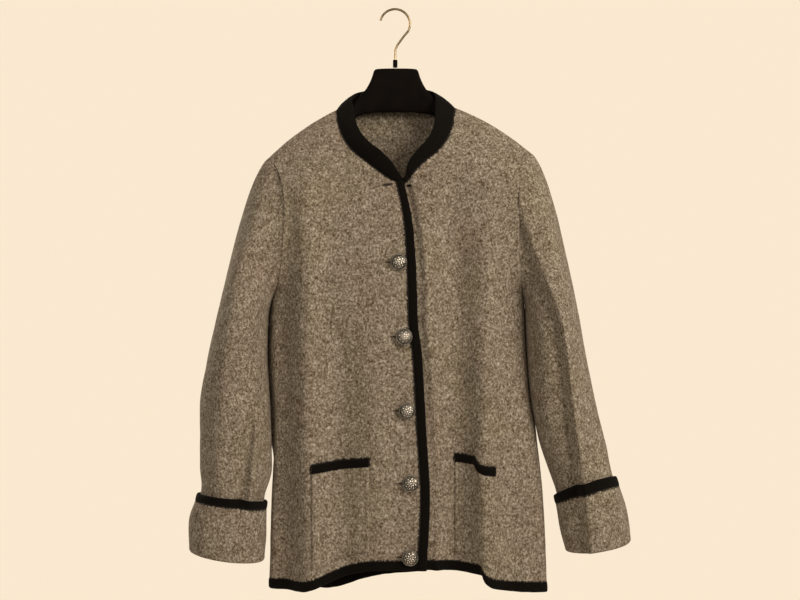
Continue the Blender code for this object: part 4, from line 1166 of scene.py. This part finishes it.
def build_pockets(wool, knit):
    """Patch pockets that lie on the fronts, with a band along the mouth."""
    foot = rounded_steps(POCKET_FOOT, POCKET_FOOT_END, POCKET_FOOT_ROWS)
    rows = np.concatenate([foot[:-1], np.linspace(POCKET_FOOT_END, POCKET_END, POCKET_ROWS)])
    band_rows = rounded_steps(POCKET_BINDING - BAND_LAP / LEVEL_SPAN, POCKET_TOP, BAND_STEPS)
    shares = rounded_steps(0.0, 1.0, POCKET_COLUMNS)
    for side in SIDES:
        grid = pocket_sheet(side, rows, shares)
        normals = normals_of(grid, SIGN[side])
        grid = grid + normals * lumps(grid)
        across, up = run_lengths(grid, 1), run_lengths(grid, 0)
        inset = np.minimum(np.minimum(across, across[:, -1:] - across), up)
        rim = np.clip(1 - inset / POCKET_EDGE, 0.0, 1.0)
        rise = POCKET_RISE[side] * np.sqrt(1 - rim**2)
        rise -= STITCH_DIP * np.exp(-(((inset - STITCH_INSET) / STITCH_HALF) ** 2))
        marks = np.broadcast_to(((POCKET_BINDING - rows) * LEVEL_SPAN)[:, None], inset.shape)
        outer = grid + normals * (rise + LAYER_GAP)[..., None]
        cloth_piece("pocket_" + side, outer, grid + normals * LAYER_GAP / 2, wool, marks=marks)
        strip = pocket_sheet(side, band_rows, shares)
        normals = normals_of(strip, SIGN[side])
        lift = lumps(strip) + POCKET_RISE[side] + LAYER_GAP + POCKET_BAND_LIFT
        band("pocket_binding_" + side, strip + normals * lift, normals, knit, POCKET_BAND_HALF)


def build_sleeve(side, cloth, wool):
    """A sleeve, from its armhole to the end that its cuff hides."""
    levels = np.concatenate(
        [np.full(SLEEVE_CAP_ROWS, -1.0), np.linspace(0.0, CUFF_FOOT, SLEEVE_ROWS + 1)]
    )
    to_cuff = (CUFF_BINDING_TOP - levels) * CUFF_LEVEL_SPAN
    to_cuff = np.where(to_cuff > 0, to_cuff, 1.0)[:, None]
    name = "sleeve_" + side
    grid, normals = cloth.grids[name], cloth.normals[name]
    marks = np.broadcast_to(to_cuff, grid.shape[:2])
    panel(name, grid, normals, wool, wrap=True, marks=marks)


def build_cuff(side, angles, wool, knit):
    """A cuff that turns up round the sleeve's end, with a band round its top."""
    radius = (CUFF_OUT + CLOTH) / 2
    # Rows of the face, down its outside and round the fold: level, out, down and turned by.
    face = [
        (CUFF_START + (CUFF_FOOT - CUFF_START) * t,
         CUFF_OUT + CUFF_PUFF * math.sin(math.pi * t) ** 1.5, 0.0, 0.0)
        for t in np.linspace(0.0, 1.0, CUFF_ROWS + 1)
    ]
    face += [
        (CUFF_FOOT, CUFF_OUT - radius + radius * math.cos(turn), radius * math.sin(turn), turn)
        for turn in np.linspace(0.0, math.pi, CUFF_FOLD_STEPS + 1)[1:]
    ]
    to_band = np.array([(row[0] - CUFF_TOP) * CUFF_LEVEL_SPAN - BAND_LAP for row in face])
    band_top = CUFF_TOP + BAND_LAP / CUFF_LEVEL_SPAN
    band_levels = rounded_steps(CUFF_BINDING_TOP, band_top, BAND_STEPS)
    outer, inner = [], []
    for level, out, down, turn in face:
        hidden_out, hidden_down = out - CLOTH * math.cos(turn), down - CLOTH * math.sin(turn)
        outer.append(sleeve_ring(side, level, angles, out) - (0.0, 0.0, down))
        inner.append(sleeve_ring(side, level, angles, hidden_out) - (0.0, 0.0, hidden_down))
    outer, inner = np.array(outer), np.array(inner)
    normals = normals_of(outer, -SIGN[side], wrap=True)
    lift = crease_sleeve(side, outer, normals) - outer + normals * lumps(outer)
    marks = np.broadcast_to(to_band[:, None], outer.shape[:2])
    cloth_piece("cuff_" + side, outer + lift, inner + lift, wool, wrap=True, marks=marks)
    strip = np.array([sleeve_ring(side, level, angles, CUFF_OUT) for level in band_levels])
    normals = normals_of(strip, -SIGN[side], wrap=True)
    strip = crease_sleeve(side, strip, normals) + normals * lumps(strip)
    band("cuff_binding_" + side, strip, normals, knit, wrap=True)


def front_place(tree, x, z):
    """The point and normal of a front's face at this x and z."""
    return tree.ray_cast(Vector((x, -1.0, z)), Vector((0.0, 1.0, 0.0)))[:2]


def face_tree(name):
    """The faces of a finished piece, to find places on them."""
    return BVHTree.FromObject(bpy.data.objects[name], bpy.context.evaluated_depsgraph_get())


def work_slit(name, tree, row, painted_slit_shadow, silk):
    """A slit in a front with a rim of thread round it, and one flat face of painted shadow in the
    slit.
    """
    x, z, length, gape, climb = row
    turn = math.radians(climb)
    sides = np.linspace(0.0, 2 * math.pi, THREAD_SIDES, endpoint=False)
    points, slit, faces = [], [], []
    for angle in np.linspace(0.0, 2 * math.pi, SLIT_STEPS, endpoint=False):
        along = length / 2 * math.cos(angle)
        rise = gape / 2 * math.sin(angle)
        px = x + along * math.cos(turn) - rise * math.sin(turn)
        pz = z + along * math.sin(turn) + rise * math.cos(turn)
        place, normal = front_place(tree, px, pz)
        away = Vector((math.cos(angle) * RIM_AT_ENDS, 0.0, math.sin(angle)))
        away = (away - normal * away.dot(normal)).normalized()
        for s in sides:
            lift, shift = THREAD * (RIM_LIFT + math.sin(s)), THREAD * (1 + math.cos(s))
            points.append(place + normal * lift + away * shift)
        slit.append(place + normal * SLIT_LIFT)
    for i in range(SLIT_STEPS):
        near, far = i * THREAD_SIDES, (i + 1) % SLIT_STEPS * THREAD_SIDES
        for k in range(THREAD_SIDES):
            m = (k + 1) % THREAD_SIDES
            faces.append((near + k, far + k, far + m, near + m))
    # The slit's middle is one flat face in near-black painted shadow, standing in for the shade
    # inside the slit.
    faces.append(tuple(range(len(points), len(points) + SLIT_STEPS)))
    mesh = bpy.data.meshes.new(name)
    mesh.from_pydata(points + slit, [], faces)
    mesh.materials.append(silk)
    mesh.materials.append(painted_slit_shadow)
    mesh.polygons[-1].material_index = 1
    mesh.shade_smooth()
    piece = add_object(name, mesh)
    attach(piece, "root")


def build_buttonholes(painted_slit_shadow, silk):
    """The worked buttonholes of the right front, and the mark that a lost top button left."""
    tree = face_tree("front_right_cloth")
    for number, row in enumerate(BUTTONHOLES):
        work_slit("buttonhole_%d" % number, tree, row, painted_slit_shadow, silk)
    # The mark's rim of thread and its middle both take the near-black painted slit shadow.
    work_slit("thread_mark", face_tree("front_left_cloth"), THREAD_MARK, painted_slit_shadow, painted_slit_shadow)


def dome_height(radius):
    """How high a button's dome stands at this radius."""
    return DOME_FOOT + DOME_HEIGHT * (1 - (radius / DOME_RADIUS) ** 2)


def ring_of_drops(
    count, radius, height, size, first=0.0, slant=0.0, slope=0.0, segments=12, rings=8
):
    """Adds rounded drops in a ring: first shifts them by that share of their spacing."""
    for i in range(count):
        angle = 2 * math.pi * (i + first) / count
        bpy.ops.mesh.primitive_uv_sphere_add(
            segments=segments, ring_count=rings, radius=1.0,
            location=(radius * math.cos(angle), radius * math.sin(angle), height),
            rotation=(0.0, slope, angle + slant), scale=size,
        )


def model_button():
    """A domed button at the origin that faces +Z: a turned disc on a shank, with a rope round
    its rim and a rosette of eight petals."""
    bpy.ops.object.select_all(action="DESELECT")
    bpy.ops.mesh.primitive_circle_add(
        vertices=BUTTON_SIDES, radius=SHANK_RADIUS, fill_type="NOTHING"
    )
    button = bpy.context.object
    bpy.ops.object.mode_set(mode="EDIT")
    bpy.ops.mesh.select_all(action="SELECT")
    dome = [DOME_RADIUS * (1 - step / DOME_STEPS) for step in range(1, DOME_STEPS)]
    last_radius, last_height = SHANK_RADIUS, 0.0
    for radius, height in BUTTON_PROFILE + tuple((r, dome_height(r)) for r in dome):
        bpy.ops.mesh.extrude_region_move(
            TRANSFORM_OT_translate={"value": (0.0, 0.0, height - last_height)}
        )
        scale = radius / last_radius
        bpy.ops.transform.resize(value=(scale, scale, 1.0), center_override=(0.0, 0.0, 0.0))
        last_radius, last_height = radius, height
    bpy.ops.mesh.edge_face_add()
    ring_of_drops(
        ROPE_STRANDS, ROPE_RADIUS, ROPE_HEIGHT, STRAND_SIZE, slant=STRAND_SLANT,
        segments=8, rings=6,
    )
    for first, count, radius, *size in ORNAMENT:
        slope = math.atan(2 * DOME_HEIGHT * radius / DOME_RADIUS**2)
        ring_of_drops(count, radius, dome_height(radius), size, first=first, slope=slope)
    bpy.ops.object.mode_set(mode="OBJECT")
    return button


def build_buttons(metal):
    """The five buttons, each turned its own way on the right front's face."""
    tree = face_tree("front_right_cloth")
    pattern = model_button()
    mesh = pattern.data
    raised = []
    for vertex in mesh.vertices:
        radius = vertex.co.xy.length
        rise = vertex.co.z - (dome_height(radius) if radius < DOME_RADIUS else ROPE_RUBBED)
        raised.append(min(max(rise / RUBBED_RISE, 0.0), 1.0))
    mesh.attributes.new("raised", "FLOAT", "POINT").data.foreach_set("value", raised)
    mesh.materials.append(metal)
    mesh.shade_smooth()
    mesh.set_sharp_from_angle(angle=math.radians(40))
    for number, (x, z, tip, aside) in enumerate(BUTTONS, 1):
        turned = mesh.copy()
        turned.transform(Matrix.Rotation(math.radians(BUTTON_TURN * number), 4, "Z"))
        turned.transform(Matrix.Rotation(math.radians(90 + tip), 4, "X"))
        turned.transform(Matrix.Rotation(math.radians(aside), 4, "Z"))
        place = front_place(tree, x, z)[0] - Vector((0.0, BUTTON_SINK, 0.0))
        turned.transform(Matrix.Translation(place))
        button = add_object("button_%d_pewter" % number, turned)
        dress(button, "button_%d" % number)
    bpy.data.objects.remove(pattern)


def make_active(piece):
    """Selects this piece alone, for an operator."""
    bpy.ops.object.select_all(action="DESELECT")
    bpy.context.view_layer.objects.active = piece
    piece.select_set(True)


def build_hanger_body(plastic):
    """The hanger's body, smoothed from its solid, and its ferrule."""
    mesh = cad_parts["hanger_body"].data.copy()
    mesh.materials.clear()
    piece = add_object("hanger_body_moulding", mesh)
    data = bmesh.new()
    data.from_mesh(mesh)
    bmesh.ops.remove_doubles(data, verts=data.verts, dist=1e-5)
    bmesh.ops.join_triangles(
        data, faces=data.faces, angle_face_threshold=0.6, angle_shape_threshold=1.2
    )
    data.to_mesh(mesh)
    data.free()
    mesh.materials.append(plastic)
    smooth = piece.modifiers.new("Smooth", "SUBSURF")
    smooth.levels = smooth.render_levels = 2
    make_active(piece)
    bpy.ops.object.modifier_apply(modifier="Smooth")
    bpy.ops.object.shade_smooth()
    dress(piece, "hanger_body")
    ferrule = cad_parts["hanger_ferrule"].data
    ferrule.materials.clear()
    ferrule.materials.append(plastic)


def build_hook(wire):
    """The hook: round wire bent to an arc, then in a swan neck down to the ferrule."""
    centre = Vector((0.0, 0.0, WIRE - HOOK_RADIUS))
    route = []
    for angle in np.radians(np.linspace(HOOK_TIP, HOOK_END, HOOK_STEPS + 1)):
        route.append(centre + HOOK_RADIUS * Vector((math.cos(angle), 0.0, math.sin(angle))))
    route += [Vector((x, 0.0, z)) for x, z in STEM]
    curve = bpy.data.curves.new("hanger_hook_wire", "CURVE")
    curve.dimensions = "3D"
    curve.bevel_depth = WIRE
    curve.bevel_resolution = 6
    curve.use_fill_caps = True
    spline = curve.splines.new("POLY")
    spline.points.add(len(route) - 1)
    for point, place in zip(spline.points, route):
        point.co = (*place, 1.0)
    curve.materials.append(wire)
    make_active(add_object("hanger_hook_wire", curve))
    bpy.ops.object.convert(target="MESH")
    bpy.ops.object.shade_smooth()
    dress(bpy.context.object, "hanger_hook")


def build_floor():
    """A pale floor, well below the jacket."""
    bpy.ops.object.select_all(action="DESELECT")
    bpy.ops.mesh.primitive_plane_add(size=FLOOR_SIZE, location=(0.0, 0.0, FLOOR))
    floor = bpy.context.object
    floor.name = "floor"
    material, tree, shader = new_material("painted floor, pale cream")
    set_inputs(tree, shader, {"Base Color": linear("#f3e9d9"), "Roughness": 0.8})
    floor.data.materials.append(material)


def light_room(scene):
    """Soft lamps, with the brightest in front at the upper right, in a pale even room."""
    for name, place, size, power in LIGHTS:
        light = bpy.data.lights.new(name, "AREA")
        light.size = size
        light.energy = power
        light.color = linear(LIGHT_COLOUR)[:3]
        lamp = add_object(name, light)
        lamp.location = place
        aim = Vector(LIGHT_AIM) - Vector(place)
        lamp.rotation_euler = aim.to_track_quat("-Z", "Y").to_euler()
    world = bpy.data.worlds.new("pale room")
    scene.world = world
    world.use_nodes = True
    tree = world.node_tree
    room = {"Color": linear(ROOM_COLOUR), "Strength": AMBIENT}
    set_inputs(tree, tree.nodes["Background"], room)
    # The room looks brighter than the light that it gives.
    seen = add_node(tree, "ShaderNodeBackground", dict(room, Strength=1.0)).outputs[0]
    to_camera = add_node(tree, "ShaderNodeLightPath").outputs["Is Camera Ray"]
    given = tree.nodes["Background"].outputs[0]
    both = add_node(tree, "ShaderNodeMixShader", {0: to_camera, 1: given, 2: seen}).outputs[0]
    tree.links.new(both, tree.nodes["World Output"].inputs["Surface"])


def place_camera(scene):
    """The camera, level with the chest and facing +Y."""
    camera = add_object("camera", bpy.data.cameras.new("camera"))
    camera.location = CAMERA_PLACE
    camera.rotation_euler = (math.pi / 2, 0.0, 0.0)
    camera.data.lens = CAMERA_LENS
    scene.camera = camera


def main():
    bpy.ops.object.select_all(action="DESELECT")
    wool, knit = boiled_wool(), felted_knit()
    metal, plastic, wire = pewter(), hanger_plastic(), plated_wire()
    # Near-black painted shadow for the inside of the slits.
    shadow = thread("painted shadow inside a slit", "#0b0908", "#17120f")
    silk = thread("polyester thread, grey-brown", "#3c342b", "#6b6052")
    cloth = Cloth()
    build_body(cloth, wool, knit)
    build_pockets(wool, knit)
    for side in SIDES:
        build_sleeve(side, cloth, wool)
        build_cuff(side, cloth.angles[side], wool, knit)
    build_buttonholes(shadow, silk)
    build_buttons(metal)
    build_hanger_body(plastic)
    build_hook(wire)
    scene = bpy.context.scene
    scene.view_settings.view_transform = "Standard"
    build_floor()
    light_room(scene)
    place_camera(scene)


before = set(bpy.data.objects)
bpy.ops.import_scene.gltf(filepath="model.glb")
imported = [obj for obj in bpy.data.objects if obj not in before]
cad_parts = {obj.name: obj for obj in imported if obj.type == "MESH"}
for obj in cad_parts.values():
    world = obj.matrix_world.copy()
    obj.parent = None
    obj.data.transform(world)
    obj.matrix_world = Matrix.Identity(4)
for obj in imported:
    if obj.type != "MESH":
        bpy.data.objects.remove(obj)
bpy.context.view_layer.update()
main()
